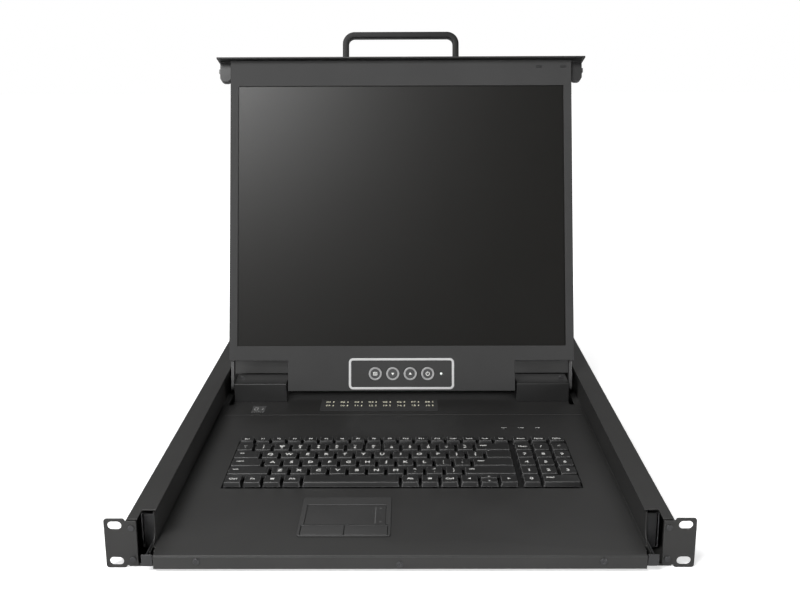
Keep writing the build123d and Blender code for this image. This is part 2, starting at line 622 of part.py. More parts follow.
def keyboard_deck():
    """Flat cover in front of the person, with cut-outs for the keyboard, the touchpad and the lock lights."""
    with BuildPart() as deck:
        with BuildSketch(Plane.XY.offset(up(DECK_UNDER_H))):
            with Locations((0, SEAM_Y / 2)):
                Rectangle(2 * DECK_HALF, SEAM_Y)
            with Locations((0, -TRAY_FRONT / 2)):
                Rectangle(2 * STRIP_HALF, TRAY_FRONT)
            with Locations(((KEYBOARD_LEFT + KEYBOARD_RIGHT) / 2, (KEYBOARD_FRONT + KEYBOARD_BACK) / 2)):
                Rectangle(
                    KEYBOARD_RIGHT - KEYBOARD_LEFT + KEY_GAP, KEYBOARD_BACK - KEYBOARD_FRONT + KEY_GAP,
                    mode=Mode.SUBTRACT,
                )
            with Locations((TOUCHPAD_X, TOUCHPAD_FRONT + TOUCHPAD_DEPTH / 2)):
                Rectangle(TOUCHPAD_WIDTH - 4, TOUCHPAD_DEPTH - 4, mode=Mode.SUBTRACT)
            with Locations(*LOCK_LIGHTS):
                Circle(LIGHT_RADIUS + HOLE_CLEARANCE, mode=Mode.SUBTRACT)
        extrude(amount=DECK_SHEET)
        front_edge = deck.edges().filter_by(Axis.X).group_by(Axis.Y)[0].sort_by(Axis.Z)[-1]
        fillet(front_edge, 1.0)
    save(deck.part, "keyboard_deck")


def control_strip():
    """Plate behind the deck seam, under the display: carries the lights and both hinge blocks."""
    start = SEAM_Y + SEAM_GAP
    step_y = BLOCK_FRONT - 10
    with BuildPart() as strip:
        with BuildSketch(Plane.XY.offset(up(DECK_UNDER_H))):
            with Locations((0, (start + step_y) / 2)):
                Rectangle(2 * DECK_HALF, step_y - start)
            with Locations((0, (step_y + BLOCK_BACK) / 2)):
                Rectangle(2 * BLOCK_OUT, BLOCK_BACK - step_y)
            with Locations((STATION_X, STATION_Y)):
                Rectangle(STATION_WIDTH + CUTOUT_GAP, STATION_DEPTH + CUTOUT_GAP, mode=Mode.SUBTRACT)
        extrude(amount=DECK_SHEET)
    save(strip.part, "control_strip")


def indicator_panel():
    """Thin overlay with sixteen port lights in two rows, and the three lock lights of the keyboard."""
    with BuildPart() as panel:
        with BuildSketch(Plane.XY.offset(up(DECK_TOP_H))):
            with Locations((PORT_LIGHT_X, HINGE_Y - OVERLAY_FROM_HINGE)):
                RectangleRounded(PORT_COLUMNS * PORT_LIGHT_PITCH + 2 * OVERLAY_BORDER, OVERLAY_DEPTH, 2)
        extrude(amount=OVERLAY_SHEET)
        with BuildSketch(Plane.XY.offset(up(DECK_TOP_H + OVERLAY_SHEET))):
            with Locations((PORT_LIGHT_X, HINGE_Y - PORT_LIGHT_FROM_HINGE)):
                with GridLocations(PORT_LIGHT_PITCH, PORT_LIGHT_ROW_SPACE, PORT_COLUMNS, 2):
                    RectangleRounded(PORT_LIGHT_WIDTH, PORT_LIGHT_DEPTH, 0.8)
        extrude(amount=0.4)
        with BuildSketch(Plane.XY.offset(up(DECK_UNDER_H - 1.5))):
            with Locations(*LOCK_LIGHTS):
                Circle(LIGHT_RADIUS)
        extrude(amount=DECK_SHEET + 1.9)
    save(panel.part, "indicator_panel")


def station_display():
    """Two-digit station number display, set in the control strip."""
    with BuildPart() as display:
        with BuildSketch(Plane.XY.offset(up(DECK_UNDER_H - 3))):
            with Locations((STATION_X, STATION_Y)):
                RectangleRounded(STATION_WIDTH, STATION_DEPTH, 0.6)
        extrude(amount=3 + DECK_SHEET + STATION_RISE)
    save(display.part, "station_display")


def hinge_block():
    """Cast block on the control strip, with a blind bore for the hinge pin in its outer end."""
    with BuildPart() as block:
        slab((BLOCK_IN, BLOCK_FRONT, DECK_TOP_H), (BLOCK_OUT, BLOCK_BACK, BLOCK_TOP_H))
        top = block.edges().filter_by(Axis.X).group_by(Axis.Z)[-1]
        fillet(top, BLOCK_CORNER)
        with BuildSketch(Plane.YZ.offset(BLOCK_OUT)):
            with Locations((HINGE_Y, up(HINGE_H))):
                Circle(PIN_RADIUS + PIN_CLEARANCE)
        extrude(amount=-PIN_LENGTH - BORE_DEEPER, mode=Mode.SUBTRACT)
    save_pair(block.part, "hinge_block")


def rear_cover():
    """Folded cover of the electronics bay, with a sloping front and vent slots."""
    top, side_low = up(COVER_TOP_H), up(COVER_SIDE_LOW_H)
    front_low, inside_low = up(COVER_LOW_H), up(COVER_LOW_H - 7)
    back_y = DRAWER_REAR - SHEET
    slope_back = COVER_FRONT + COVER_SLOPE
    slope = [(COVER_FRONT, up(COVER_EDGE_H)), (slope_back, top), (back_y, top)]
    inner_slope = [(COVER_FRONT + SHEET, up(COVER_EDGE_H - 0.5)), (slope_back + 0.4, top - SHEET),
                   (back_y, top - SHEET)]
    half = FLANGE_IN - COVER_SIDE_GAP
    with BuildPart() as cover:
        with BuildSketch(Plane.YZ.offset(-half)):
            with BuildLine():
                Polyline((COVER_FRONT, front_low), *slope, (back_y, side_low),
                         (COVER_FRONT + 30, side_low), (COVER_FRONT + 10, front_low), close=True)
            make_face()
        extrude(amount=2 * half)
        with BuildSketch(Plane.YZ.offset(SHEET - half)):
            with BuildLine():
                Polyline((COVER_FRONT + SHEET, inside_low), *inner_slope, (back_y, inside_low), close=True)
            make_face()
        extrude(amount=2 * (half - SHEET), mode=Mode.SUBTRACT)
        with BuildSketch(Plane.XY.offset(top)):
            with Locations((VENT_X, (COVER_FRONT + DRAWER_REAR) / 2 + 10)):
                with GridLocations(VENT_PITCH, VENT_ROW_SPACE, 16, 2):
                    SlotOverall(VENT_LENGTH, VENT_WIDTH, rotation=90)
            with Locations(*COVER_SCREWS):
                Circle(1.5 + HOLE_CLEARANCE)
        extrude(amount=-SHEET, mode=Mode.SUBTRACT)
    save(cover.part, "rear_cover")


def rear_panel():
    """Back wall of the drawer, with the cut-outs of all sockets."""
    with BuildPart() as panel:
        with BuildSketch(facing(DRAWER_REAR - SHEET)):
            with Locations((0, up((TRAY_FLOOR_H + TRAY_WALL_TOP_H) / 2))):
                Rectangle(2 * TRAY_IN - CUTOUT_GAP, TRAY_WALL_TOP_H - TRAY_FLOOR_H)
            with Locations((0, up((TRAY_WALL_TOP_H - 1 + COVER_TOP_H) / 2))):
                Rectangle(2 * (FLANGE_IN - COVER_SIDE_GAP), COVER_TOP_H - TRAY_WALL_TOP_H + 1)
            with Locations(*[(x, up(h)) for x, h in PORT_PLACES + [CONSOLE_PLACE]]):
                Rectangle(PORT_BODY[0] + CUTOUT_GAP, PORT_BODY[1] + CUTOUT_GAP, mode=Mode.SUBTRACT)
            with Locations((INLET_X, up(SOCKET_H))):
                Rectangle(INLET_BODY[0] + CUTOUT_GAP, INLET_BODY[1] + CUTOUT_GAP, mode=Mode.SUBTRACT)
        extrude(amount=-SHEET)
    save(panel.part, "rear_panel")


def port_sockets():
    """Sixteen computer sockets and one console socket, each with a flange and a D-shaped shell."""
    places = [(x, up(h)) for x, h in PORT_PLACES + [CONSOLE_PLACE]]
    with BuildPart() as sockets:
        with BuildSketch(facing(DRAWER_REAR - PORT_BODY_DEPTH)):
            with Locations(*places):
                Rectangle(*PORT_BODY)
        extrude(amount=-PORT_BODY_DEPTH)
        with BuildSketch(facing(DRAWER_REAR)):
            with Locations(*places):
                RectangleRounded(*PORT_FLANGE, 1.5)
        extrude(amount=-PORT_FLANGE_SHEET)
        with BuildSketch(facing(DRAWER_REAR + PORT_FLANGE_SHEET)):
            with Locations(*places):
                Trapezoid(*PORT_SHELL, 80, rotation=180)
        extrude(amount=-PORT_SHELL_LENGTH)
        shell_edges = sockets.edges().filter_by(Axis.Y).group_by(Axis.Y)[-1]
        fillet(shell_edges, 1.6)
    save(sockets.part, "port_sockets")


def power_inlet():
    """Mains inlet with three blades at the bottom of its cavity."""
    mid = up(SOCKET_H)
    cavity_floor = DRAWER_REAR + INLET_FLANGE_SHEET - INLET_CAVITY_DEPTH
    with BuildPart() as inlet:
        with BuildSketch(facing(DRAWER_REAR - INLET_BODY_DEPTH)):
            with Locations((INLET_X, mid)):
                Rectangle(*INLET_BODY)
        extrude(amount=-INLET_BODY_DEPTH)
        with BuildSketch(facing(DRAWER_REAR)):
            with Locations((INLET_X, mid)):
                RectangleRounded(*INLET_FLANGE, 2)
        extrude(amount=-INLET_FLANGE_SHEET)
        with BuildSketch(facing(DRAWER_REAR + INLET_FLANGE_SHEET)):
            with Locations((INLET_X, mid)):
                Rectangle(*INLET_CAVITY)
        extrude(amount=INLET_CAVITY_DEPTH, mode=Mode.SUBTRACT)
        with BuildSketch(facing(cavity_floor)):
            with Locations((INLET_X - 7, mid - 2), (INLET_X, mid + 2), (INLET_X + 7, mid - 2)):
                Rectangle(2.0, 4.0)
        extrude(amount=-INLET_BLADE_LENGTH)
    save(inlet.part, "power_inlet")


def kvm_board():
    """Switching board on six posts, with chips and a finned heat sink."""
    board_h, board_sheet = 8.0, 1.6
    chip_h, sink_base_h, fin_h = 1.8, 3.4, 16.4
    top_h = board_h + board_sheet
    left, right = INLET_X + 60, TRAY_IN - 15
    front, back = COVER_FRONT + 12, DRAWER_REAR - 14
    posts = [(x, y) for x in (left + 6, (left + right) / 2, right - 6) for y in (front + 6, back - 6)]
    chips = [(-60, 40, 22), (-20, 40, 22), (20, 40, 22), (-60, 95, 16), (-20, 95, 16), (20, 95, 16), (150, 60, 14)]
    with BuildPart() as board:
        slab((left, front, board_h), (right, back, top_h))
        with BuildSketch(Plane.XY.offset(up(TRAY_FLOOR_H))):
            with Locations(*posts):
                Circle(2.6)
        extrude(amount=board_h - TRAY_FLOOR_H)
        for x, y, size in chips:
            slab((x, front + y, top_h), (x + size, front + y + size, top_h + chip_h))
        sink_x, sink_y, sink_size = 80.0, front + 45, 44.0
        slab((sink_x, sink_y, top_h), (sink_x + sink_size, sink_y + sink_size, top_h + sink_base_h))
        for i in range(8):
            fin_x = sink_x + 1 + i * 5.7
            slab((fin_x, sink_y, top_h + sink_base_h), (fin_x + 1.4, sink_y + sink_size, top_h + fin_h))
    save(board.part, "kvm_board")


def power_supply():
    """Closed power module behind the mains inlet."""
    with BuildPart() as supply:
        slab((INLET_X - 32, COVER_FRONT + 40, TRAY_FLOOR_H), (INLET_X + 48, DRAWER_REAR - 24, 35.0))
        fillet(supply.edges().filter_by(Axis.Y).group_by(Axis.Z)[-1], 1.5)
    save(supply.part, "power_supply")


def drawer_screws():
    """Low-headed screws of the front strip and of the rear cover."""
    with BuildPart() as screws:
        with BuildSketch(facing(-TRAY_FRONT)):
            with Locations(*[(x, up(h)) for x, h in FRONT_SCREWS]):
                Circle(2.9)
        extrude(amount=0.9)
        with BuildSketch(facing(-TRAY_FRONT)):
            with Locations(*[(x, up(h)) for x, h in FRONT_SCREWS]):
                Circle(1.4)
        extrude(amount=-4)
        with BuildSketch(Plane.XY.offset(up(COVER_TOP_H))):
            with Locations(*COVER_SCREWS):
                Circle(2.8)
        extrude(amount=0.4)
        with BuildSketch(Plane.XY.offset(up(COVER_TOP_H))):
            with Locations(*COVER_SCREWS):
                Circle(1.5)
        extrude(amount=-4)
    save(screws.part, "drawer_screws")


# ---------------------------------------------------------------- keyboard

def row_keys(widths, row, left=KEYBOARD_LEFT, pitch=KEY_PITCH):
    """Keys of one row as (x, y, width, depth), from their widths in key units, left to right."""
    keys = []
    x = left
    y = KEYBOARD_FRONT + (row + 0.5) * ROW_PITCH
    for width in widths:
        keys.append((x + width * pitch / 2, y, width * pitch - KEY_GAP, ROW_PITCH - KEY_GAP))
        x += width * pitch
    return keys


def function_row(left, count, pitch):
    """Short keys of the row furthest from the person."""
    y = KEYBOARD_BACK - FUNCTION_DEPTH / 2
    return [(left + (i + 0.5) * pitch, y, pitch - KEY_GAP, FUNCTION_DEPTH - KEY_GAP) for i in range(count)]


MAIN_WIDTH = 15 * KEY_PITCH
KEYPAD_LEFT = KEYBOARD_LEFT + MAIN_WIDTH + KEYPAD_SPACE
SPACE_LEFT = KEYBOARD_LEFT + 4 * KEY_PITCH
ARROW_X = KEYBOARD_LEFT + 13.5 * KEY_PITCH
ARROW_DEPTH = ROW_PITCH / 2


def arrow_pair():
    """The up and down arrows: two half-deep keys, one behind the other."""
    return [
        (ARROW_X, KEYBOARD_FRONT + (half + 0.5) * ARROW_DEPTH, KEY_PITCH - KEY_GAP, ARROW_DEPTH - KEY_GAP)
        for half in (0, 1)
    ]


KEY_ROWS = {
    "function_keys": function_row(KEYBOARD_LEFT, FUNCTION_KEYS, MAIN_WIDTH / FUNCTION_KEYS),
    "number_keys": row_keys([1] * 13 + [2], 4),
    "top_letter_keys": row_keys([1.5] + [1] * 12 + [1.5], 3),
    "home_letter_keys": row_keys([1.75] + [1] * 11 + [2.25], 2),
    "lower_letter_keys": row_keys([2.25] + [1] * 10 + [2.75], 1),
    "bottom_keys": row_keys([1] * 4, 0)
    + row_keys([1] * 4, 0, KEYBOARD_LEFT + 9 * KEY_PITCH)
    + arrow_pair()
    + row_keys([1], 0, KEYBOARD_LEFT + 14 * KEY_PITCH),
    "space_bar": row_keys([5], 0, SPACE_LEFT),
    "keypad_keys": row_keys([1, 2], 0, KEYPAD_LEFT)
    + [key for row in (1, 2, 3, 4) for key in row_keys([1] * 3, row, KEYPAD_LEFT)]
    + function_row(KEYPAD_LEFT, 3, KEY_PITCH),
}


def key_row(label, keys):
    """One row of tapered keycaps, each on a round stem that runs down through the keyboard plate."""
    with BuildPart() as row:
        with BuildSketch(Plane.XY.offset(up(KEY_SKIRT_H))):
            for x, y, width, depth in keys:
                with Locations((x, y)):
                    RectangleRounded(width, depth, KEY_CORNER)
        extrude(amount=KEY_TOP_H - KEY_SKIRT_H, taper=KEY_TAPER)
        with BuildSketch(Plane.XY.offset(up(STEM_END_H))):
            with Locations(*[(x, y) for x, y, _, _ in keys]):
                Circle(STEM_RADIUS)
        extrude(amount=KEY_SKIRT_H - STEM_END_H)
    save(row.part, label)


def keyboard_base():
    """Keyboard plate with a hole for every stem, on a low wall that stands on the tray."""
    stems = [(x, y) for keys in KEY_ROWS.values() for x, y, _, _ in keys]
    width = KEYBOARD_RIGHT - KEYBOARD_LEFT + 2 * KEYBOARD_BORDER
    depth = KEYBOARD_BACK - KEYBOARD_FRONT + 2 * KEYBOARD_BORDER
    centre = ((KEYBOARD_LEFT + KEYBOARD_RIGHT) / 2, (KEYBOARD_FRONT + KEYBOARD_BACK) / 2)
    with BuildPart() as base:
        with BuildSketch(Plane.XY.offset(up(TRAY_FLOOR_H))):
            with Locations(centre):
                Rectangle(width, depth)
                Rectangle(width - 2 * KEYBOARD_WALL, depth - 2 * KEYBOARD_WALL, mode=Mode.SUBTRACT)
        extrude(amount=KEYBOARD_PLATE_TOP_H - TRAY_FLOOR_H)
        with BuildSketch(Plane.XY.offset(up(KEYBOARD_PLATE_TOP_H - KEYBOARD_PLATE_SHEET))):
            with Locations(centre):
                Rectangle(width, depth)
            with Locations(*stems):
                Circle(STEM_RADIUS + SLIP, mode=Mode.SUBTRACT)
        extrude(amount=KEYBOARD_PLATE_SHEET)
    save(base.part, "keyboard_base")


# ---------------------------------------------------------------- touchpad

def touchpad_frame():
    """Raised rim around the pad and its two buttons."""
    with BuildPart() as frame:
        with BuildSketch(Plane.XY.offset(up(DECK_TOP_H))):
            with Locations((TOUCHPAD_X, TOUCHPAD_FRONT + TOUCHPAD_DEPTH / 2)):
                RectangleRounded(TOUCHPAD_WIDTH, TOUCHPAD_DEPTH, 3)
            with Locations((TOUCHPAD_X, PAD_Y)):
                RectangleRounded(PAD_WIDTH + 0.6, PAD_DEPTH + 0.6, 1.5, mode=Mode.SUBTRACT)
            with Locations((TOUCHPAD_X, PAD_BUTTON_Y)):
                Rectangle(2 * PAD_BUTTON_WIDTH + 1.4, PAD_BUTTON_DEPTH + 0.8, mode=Mode.SUBTRACT)
        extrude(amount=TOUCHPAD_RIM)
    save(frame.part, "touchpad_frame")


def touchpad():
    """Touch sensor on its board, which hangs under the deck."""
    with BuildPart() as pad:
        slab((TOUCHPAD_X - TOUCHPAD_WIDTH / 2 - PAD_EDGE, TOUCHPAD_FRONT - PAD_EDGE, DECK_UNDER_H - PAD_BOARD),
             (TOUCHPAD_X + TOUCHPAD_WIDTH / 2 + PAD_EDGE, TOUCHPAD_FRONT + TOUCHPAD_DEPTH + PAD_EDGE, DECK_UNDER_H))
        with BuildSketch(Plane.XY.offset(up(DECK_UNDER_H))):
            with Locations((TOUCHPAD_X, PAD_Y)):
                RectangleRounded(PAD_WIDTH, PAD_DEPTH, 1.2)
        extrude(amount=DECK_SHEET + PAD_RISE)
    save(pad.part, "touchpad")


def touchpad_button():
    for side, label in ((-1, "touchpad_button_left"), (1, "touchpad_button_right")):
        with BuildPart() as button:
            with BuildSketch(Plane.XY.offset(up(DECK_TOP_H - PAD_BUTTON_LOW))):
                with Locations((TOUCHPAD_X + side * (PAD_BUTTON_WIDTH + 0.6) / 2, PAD_BUTTON_Y)):
                    RectangleRounded(PAD_BUTTON_WIDTH, PAD_BUTTON_DEPTH, 1.0)
            extrude(amount=PAD_BUTTON_HEIGHT)
            fillet(button.edges().group_by(Axis.Z)[-1], 0.4)
        save(button.part, label)


# ---------------------------------------------------------------- display

def display_outline(inset):
    """Outline of the display with its tongue between the hinge blocks, drawn in by an inset."""
    body_mid = (DISPLAY_LOW_S + DISPLAY_HIGH_S) / 2
    tongue_mid = (DISPLAY_LOW_S + 5 - TONGUE_BELOW_HINGE) / 2
    with Locations((0, body_mid)):
        Rectangle(2 * (DISPLAY_HALF - inset), DISPLAY_HIGH_S - DISPLAY_LOW_S - 2 * inset)
    with Locations((0, tongue_mid + inset / 2)):
        Rectangle(TONGUE_WIDTH - 2 * inset, DISPLAY_LOW_S + 5 + TONGUE_BELOW_HINGE - inset)


def arm_slots(start, depth):
    """Slots for both hinge arms through the lower wall of a display shell, in the part being built."""
    with BuildSketch(display_plane(start)) as slots:
        with Locations(*[(side * (ARM_IN + ARM_OUT) / 2, DISPLAY_LOW_S) for side in (-1, 1)]):
            Rectangle(ARM_SHEET + 2 * SLIP, 4 * DISPLAY_WALL)
    extrude(slots.sketch, amount=depth, mode=Mode.SUBTRACT)


def display_bezel():
    """Front shell of the display, with the screen window, the button holes and the light's hole."""
    with BuildPart() as bezel:
        with BuildSketch(display_plane(SHELL_SPLIT_W)):
            display_outline(0)
        extrude(amount=FACE_W - SHELL_SPLIT_W)
        fillet(bezel.faces().sort_by(FACE_AXIS)[-1].edges(), 1.0)
        with BuildSketch(display_plane(SHELL_SPLIT_W)):
            display_outline(DISPLAY_WALL)
        extrude(amount=FACE_W - SHELL_SPLIT_W - DISPLAY_WALL, mode=Mode.SUBTRACT)
        with BuildSketch(display_plane(FACE_W)):
            with Locations((0, SCREEN_FROM_HINGE + SCREEN_HEIGHT / 2)):
                Rectangle(SCREEN_WIDTH, SCREEN_HEIGHT)
            with Locations(*BUTTON_PLACES):
                Circle(BUTTON_RADIUS + BUTTON_GAP)
            with Locations(LIGHT_PLACE):
                Circle(LIGHT_RADIUS + HOLE_CLEARANCE)
        extrude(amount=-DISPLAY_WALL, mode=Mode.SUBTRACT)
        arm_slots(SHELL_SPLIT_W, ARM_WIDTH / 2 + SLIP - SHELL_SPLIT_W)
    save(bezel.part, "display_bezel")


def display_cover():
    """Back shell of the display."""
    with BuildPart() as cover:
        with BuildSketch(display_plane(BACK_W)):
            display_outline(0)
        extrude(amount=SHELL_SPLIT_W - BACK_W)
        fillet(cover.faces().sort_by(FACE_AXIS)[0].edges(), 1.0)
        with BuildSketch(display_plane(BACK_W + DISPLAY_WALL)):
            display_outline(DISPLAY_WALL)
        extrude(amount=SHELL_SPLIT_W - BACK_W - DISPLAY_WALL, mode=Mode.SUBTRACT)
        arm_slots(-ARM_WIDTH / 2 - SLIP, SHELL_SPLIT_W + ARM_WIDTH / 2 + SLIP)
    save(cover.part, "display_cover")


def lcd_panel():
    """Screen module behind the window, with its lit face just under the bezel."""
    margin = SIDE_BEZEL - DISPLAY_WALL - ARM_SHEET - 1.0
    back_w, front_w = -6.0, FACE_W - DISPLAY_WALL - 0.2
    with BuildPart() as panel:
        with BuildSketch(display_plane(back_w)):
            with Locations((0, SCREEN_FROM_HINGE + SCREEN_HEIGHT / 2)):
                Rectangle(SCREEN_WIDTH + 2 * margin, SCREEN_HEIGHT + 12)
        extrude(amount=front_w - back_w)
    save(panel.part, "lcd_panel")


def front_plate():
    """Plate that closes the front of the drawer, with a rounded latch lug at each end."""
    with BuildPart() as plate:
        with BuildSketch(display_plane(BACK_W)):
            with Locations((0, PLATE_S - PLATE_SHEET / 2)):
                Rectangle(PLATE_WIDTH, PLATE_SHEET)
        extrude(amount=PLATE_DEPTH)
        lug_edges = plate.edges().filter_by(Axis.X).group_by(Axis.Y)[0].sort_by(Axis.Z)[-1]
        fillet(lug_edges, 0.9)
        with BuildSketch(display_plane(LUG_LOW_W)):
            for side in (-1, 1):
                with Locations((side * (LUG_IN + LUG_OUT) / 2, (LUG_LOW_S + PLATE_S - PLATE_SHEET / 2) / 2)):
                    Rectangle(LUG_OUT - LUG_IN, PLATE_S - PLATE_SHEET / 2 - LUG_LOW_S)
        extrude(amount=LUG_HIGH_W - LUG_LOW_W)
        lean = display_plane(0)
        low_edges = [
            edge for edge in plate.edges().filter_by(FACE_AXIS)
            if lean.to_local_coords(edge.center()).Y < LUG_LOW_S + 1
        ]
        fillet(low_edges, LUG_CORNER)
        with BuildSketch(lean.offset((LUG_LOW_W + LUG_HIGH_W) / 2 - BOLT_SIZE / 2 - SLIP)):
            for side in (-1, 1):
                with Locations((side * (LUG_IN + LUG_OUT) / 2, BOLT_PLACE_S)):
                    Rectangle(LUG_OUT - LUG_IN, BOLT_SIZE + 2 * SLIP)
        extrude(amount=BOLT_SIZE + 2 * SLIP, mode=Mode.SUBTRACT)
    save(plate.part, "front_plate")


def latch():
    """Spring bolt that slides in the lug of the front plate."""
    w_low = (LUG_LOW_W + LUG_HIGH_W) / 2 - BOLT_SIZE / 2
    with BuildPart() as bolt:
        with BuildSketch(display_plane(w_low)):
            with Locations(((LUG_IN + BOLT_SPACE + LUG_OUT + BOLT_REACH) / 2, BOLT_PLACE_S)):
                Rectangle(LUG_OUT + BOLT_REACH - LUG_IN - BOLT_SPACE, BOLT_SIZE)
        extrude(amount=BOLT_SIZE)
        fillet(bolt.faces().sort_by(Axis.X)[-1].edges(), 0.8)
    save_pair(bolt.part, "latch")


def pull_handle():
    """Bent flat-oval bar on the front plate."""
    mid_w = BACK_W + HANDLE_FROM_BACK
    leg_x = HANDLE_WIDTH / 2 - HANDLE_THICKNESS / 2
    bar_s = PLATE_S + HANDLE_RISE - HANDLE_THICKNESS / 2
    with BuildPart() as handle:
        with BuildLine(display_plane(mid_w)) as path:
            FilletPolyline((-leg_x, PLATE_S), (-leg_x, bar_s), (leg_x, bar_s), (leg_x, PLATE_S),
                           radius=HANDLE_CORNER)
        start = Plane(origin=path.line @ 0, x_dir=(1, 0, 0), z_dir=path.line % 0)
        with BuildSketch(start):
            RectangleRounded(HANDLE_THICKNESS, HANDLE_DEPTH, HANDLE_EDGE)
        sweep()
    save(handle.part, "pull_handle")


def hinge_arm():
    """Steel arm inside the display shell with the hinge pin at its lower end."""
    with BuildPart() as arm:
        with BuildSketch(Plane.YZ.offset(ARM_IN)):
            with Locations(Location((HINGE_Y, up(HINGE_H)), 90 - OPEN_LEAN)):
                Circle(ARM_WIDTH / 2)
                with Locations(((DISPLAY_LOW_S + ARM_REACH) / 2, 0)):
                    Rectangle(DISPLAY_LOW_S + ARM_REACH, ARM_WIDTH)
        extrude(amount=ARM_SHEET)
        with BuildSketch(Plane.YZ.offset(ARM_IN)):
            with Locations((HINGE_Y, up(HINGE_H))):
                Circle(PIN_RADIUS)
        extrude(amount=BORE_DEEPER - ARM_GAP - PIN_LENGTH)
    save_pair(arm.part, "hinge_arm")


def button_trim():
    """Silver outline around the screen buttons."""
    inner_corner = TRIM_CORNER - 0.8 * TRIM_LINE
    with BuildPart() as trim:
        with BuildSketch(display_plane(FACE_W)):
            with Locations((0, BUTTON_S - 0.1)):
                RectangleRounded(TRIM_WIDTH, TRIM_HEIGHT, TRIM_CORNER)
                RectangleRounded(TRIM_WIDTH - 2 * TRIM_LINE, TRIM_HEIGHT - 2 * TRIM_LINE, inner_corner,
                                 mode=Mode.SUBTRACT)
        extrude(amount=TRIM_HEIGHT_OVER_FACE)
    save(trim.part, "button_trim")


def button_board():
    """Circuit board behind the screen buttons, with the power light that shows through the bezel."""
    with BuildPart() as board:
        with BuildSketch(display_plane(BOARD_W)):
            with Locations((0, BUTTON_S)):
                Rectangle(2 * BOARD_POST_X + 14, 24)
        extrude(amount=BOARD_SHEET)
        with BuildSketch(display_plane(BOARD_W + BOARD_SHEET)):
            with Locations(LIGHT_PLACE):
                Circle(LIGHT_RADIUS)
        extrude(amount=FACE_W + 0.3 - BOARD_W - BOARD_SHEET)
        with BuildSketch(display_plane(BACK_W + DISPLAY_WALL)):
            with Locations((-BOARD_POST_X, BUTTON_S), (BOARD_POST_X, BUTTON_S)):
                Circle(2.5)
        extrude(amount=BOARD_W - BACK_W - DISPLAY_WALL)
    save(board.part, "button_board")


def screen_buttons():
    """Four round push buttons with a flange that keeps each behind the bezel."""
    for (x, s), label in zip(BUTTON_PLACES, BUTTON_NAMES):
        with BuildPart() as button:
            with BuildSketch(display_plane(BUTTON_FLANGE_W)):
                with Locations((x, s)):
                    Circle(BUTTON_RADIUS + BUTTON_FLANGE)
            extrude(amount=BUTTON_FLANGE)
            with BuildSketch(display_plane(BUTTON_FLANGE_W + BUTTON_FLANGE)):
                with Locations((x, s)):
                    Circle(BUTTON_RADIUS)
            extrude(amount=FACE_W + BUTTON_RISE - BUTTON_FLANGE_W - BUTTON_FLANGE)
            fillet(button.faces().sort_by(FACE_AXIS)[-1].edges(), 0.5)
        save(button.part, label)


def main():
    os.makedirs("parts", exist_ok=True)
    case_floor()
    case_side()
    rack_ear()
    rear_bracket()
    case_screws()
    slide_outer()
    slide_middle()
    slide_inner()
    ball_cages()
    drawer_tray()
    keyboard_deck()
    control_strip()
    indicator_panel()
    station_display()
    hinge_block()
    rear_cover()
    rear_panel()
    port_sockets()
    power_inlet()
    kvm_board()
    power_supply()
    drawer_screws()
    for label, keys in KEY_ROWS.items():
        key_row(label, keys)
    keyboard_base()
    touchpad_frame()
    touchpad()
    touchpad_button()
    display_bezel()
    display_cover()
    lcd_panel()
    front_plate()
    latch()
    pull_handle()
    hinge_arm()
    button_trim()
    button_board()
    screen_buttons()


if __name__ == "__main__":
    main()
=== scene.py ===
"""Looks of a one-unit rack console drawer with a built-in keyboard, video and mouse switch.

Metres. +X is right, +Y is away from the person at the rack, +Z is up.
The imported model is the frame: every piece takes its place and its size from it.
"""

import functools
import json
import logging
import math
from dataclasses import dataclass, field, replace
from enum import Enum
from typing import Any, ClassVar, Iterable, Sequence

import bmesh
import bpy
from mathutils import Matrix, Vector


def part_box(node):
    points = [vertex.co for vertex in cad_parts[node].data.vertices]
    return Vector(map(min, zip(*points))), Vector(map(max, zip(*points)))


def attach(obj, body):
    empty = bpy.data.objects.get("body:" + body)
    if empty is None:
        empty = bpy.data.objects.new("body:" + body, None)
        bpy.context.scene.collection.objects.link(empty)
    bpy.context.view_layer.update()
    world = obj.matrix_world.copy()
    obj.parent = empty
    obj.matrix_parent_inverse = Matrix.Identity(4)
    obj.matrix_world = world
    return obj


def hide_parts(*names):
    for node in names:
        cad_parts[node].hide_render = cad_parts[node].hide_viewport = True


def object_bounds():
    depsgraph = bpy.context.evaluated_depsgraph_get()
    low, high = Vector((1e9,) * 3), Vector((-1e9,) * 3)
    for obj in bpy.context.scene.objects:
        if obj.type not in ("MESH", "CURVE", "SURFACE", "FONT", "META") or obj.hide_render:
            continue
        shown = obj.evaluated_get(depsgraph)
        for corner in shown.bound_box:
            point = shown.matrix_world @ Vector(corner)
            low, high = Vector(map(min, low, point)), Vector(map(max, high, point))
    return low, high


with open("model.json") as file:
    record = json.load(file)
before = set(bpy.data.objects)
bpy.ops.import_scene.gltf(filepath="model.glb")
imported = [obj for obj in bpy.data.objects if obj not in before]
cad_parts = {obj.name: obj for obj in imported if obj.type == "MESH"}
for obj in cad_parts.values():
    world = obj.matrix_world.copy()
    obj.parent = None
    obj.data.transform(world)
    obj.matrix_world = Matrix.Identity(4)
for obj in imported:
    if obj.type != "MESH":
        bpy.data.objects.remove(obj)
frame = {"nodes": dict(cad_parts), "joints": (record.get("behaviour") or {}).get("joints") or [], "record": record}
CAD_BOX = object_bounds()

MM = 0.001
PER_METRE = 1000.0
LEVEL = Matrix.Identity(4)
SEED = 11
# How far a screw may be turned, in radians.
SCREW_TURN = 1.5
# How much print swells, as a share of its size.
PRINT_BOLDNESS = 0.024
# Edges that turn more than this are rounded, and faces that turn less than this become one, in degrees.
BEVEL_ABOVE = 38
FLAT_ANGLE = 0.4
# Points closer than this are joined, in metres.
CAD_WELD = 3e-6
WELD = 1e-6
LOG = logging.getLogger("console_drawer")

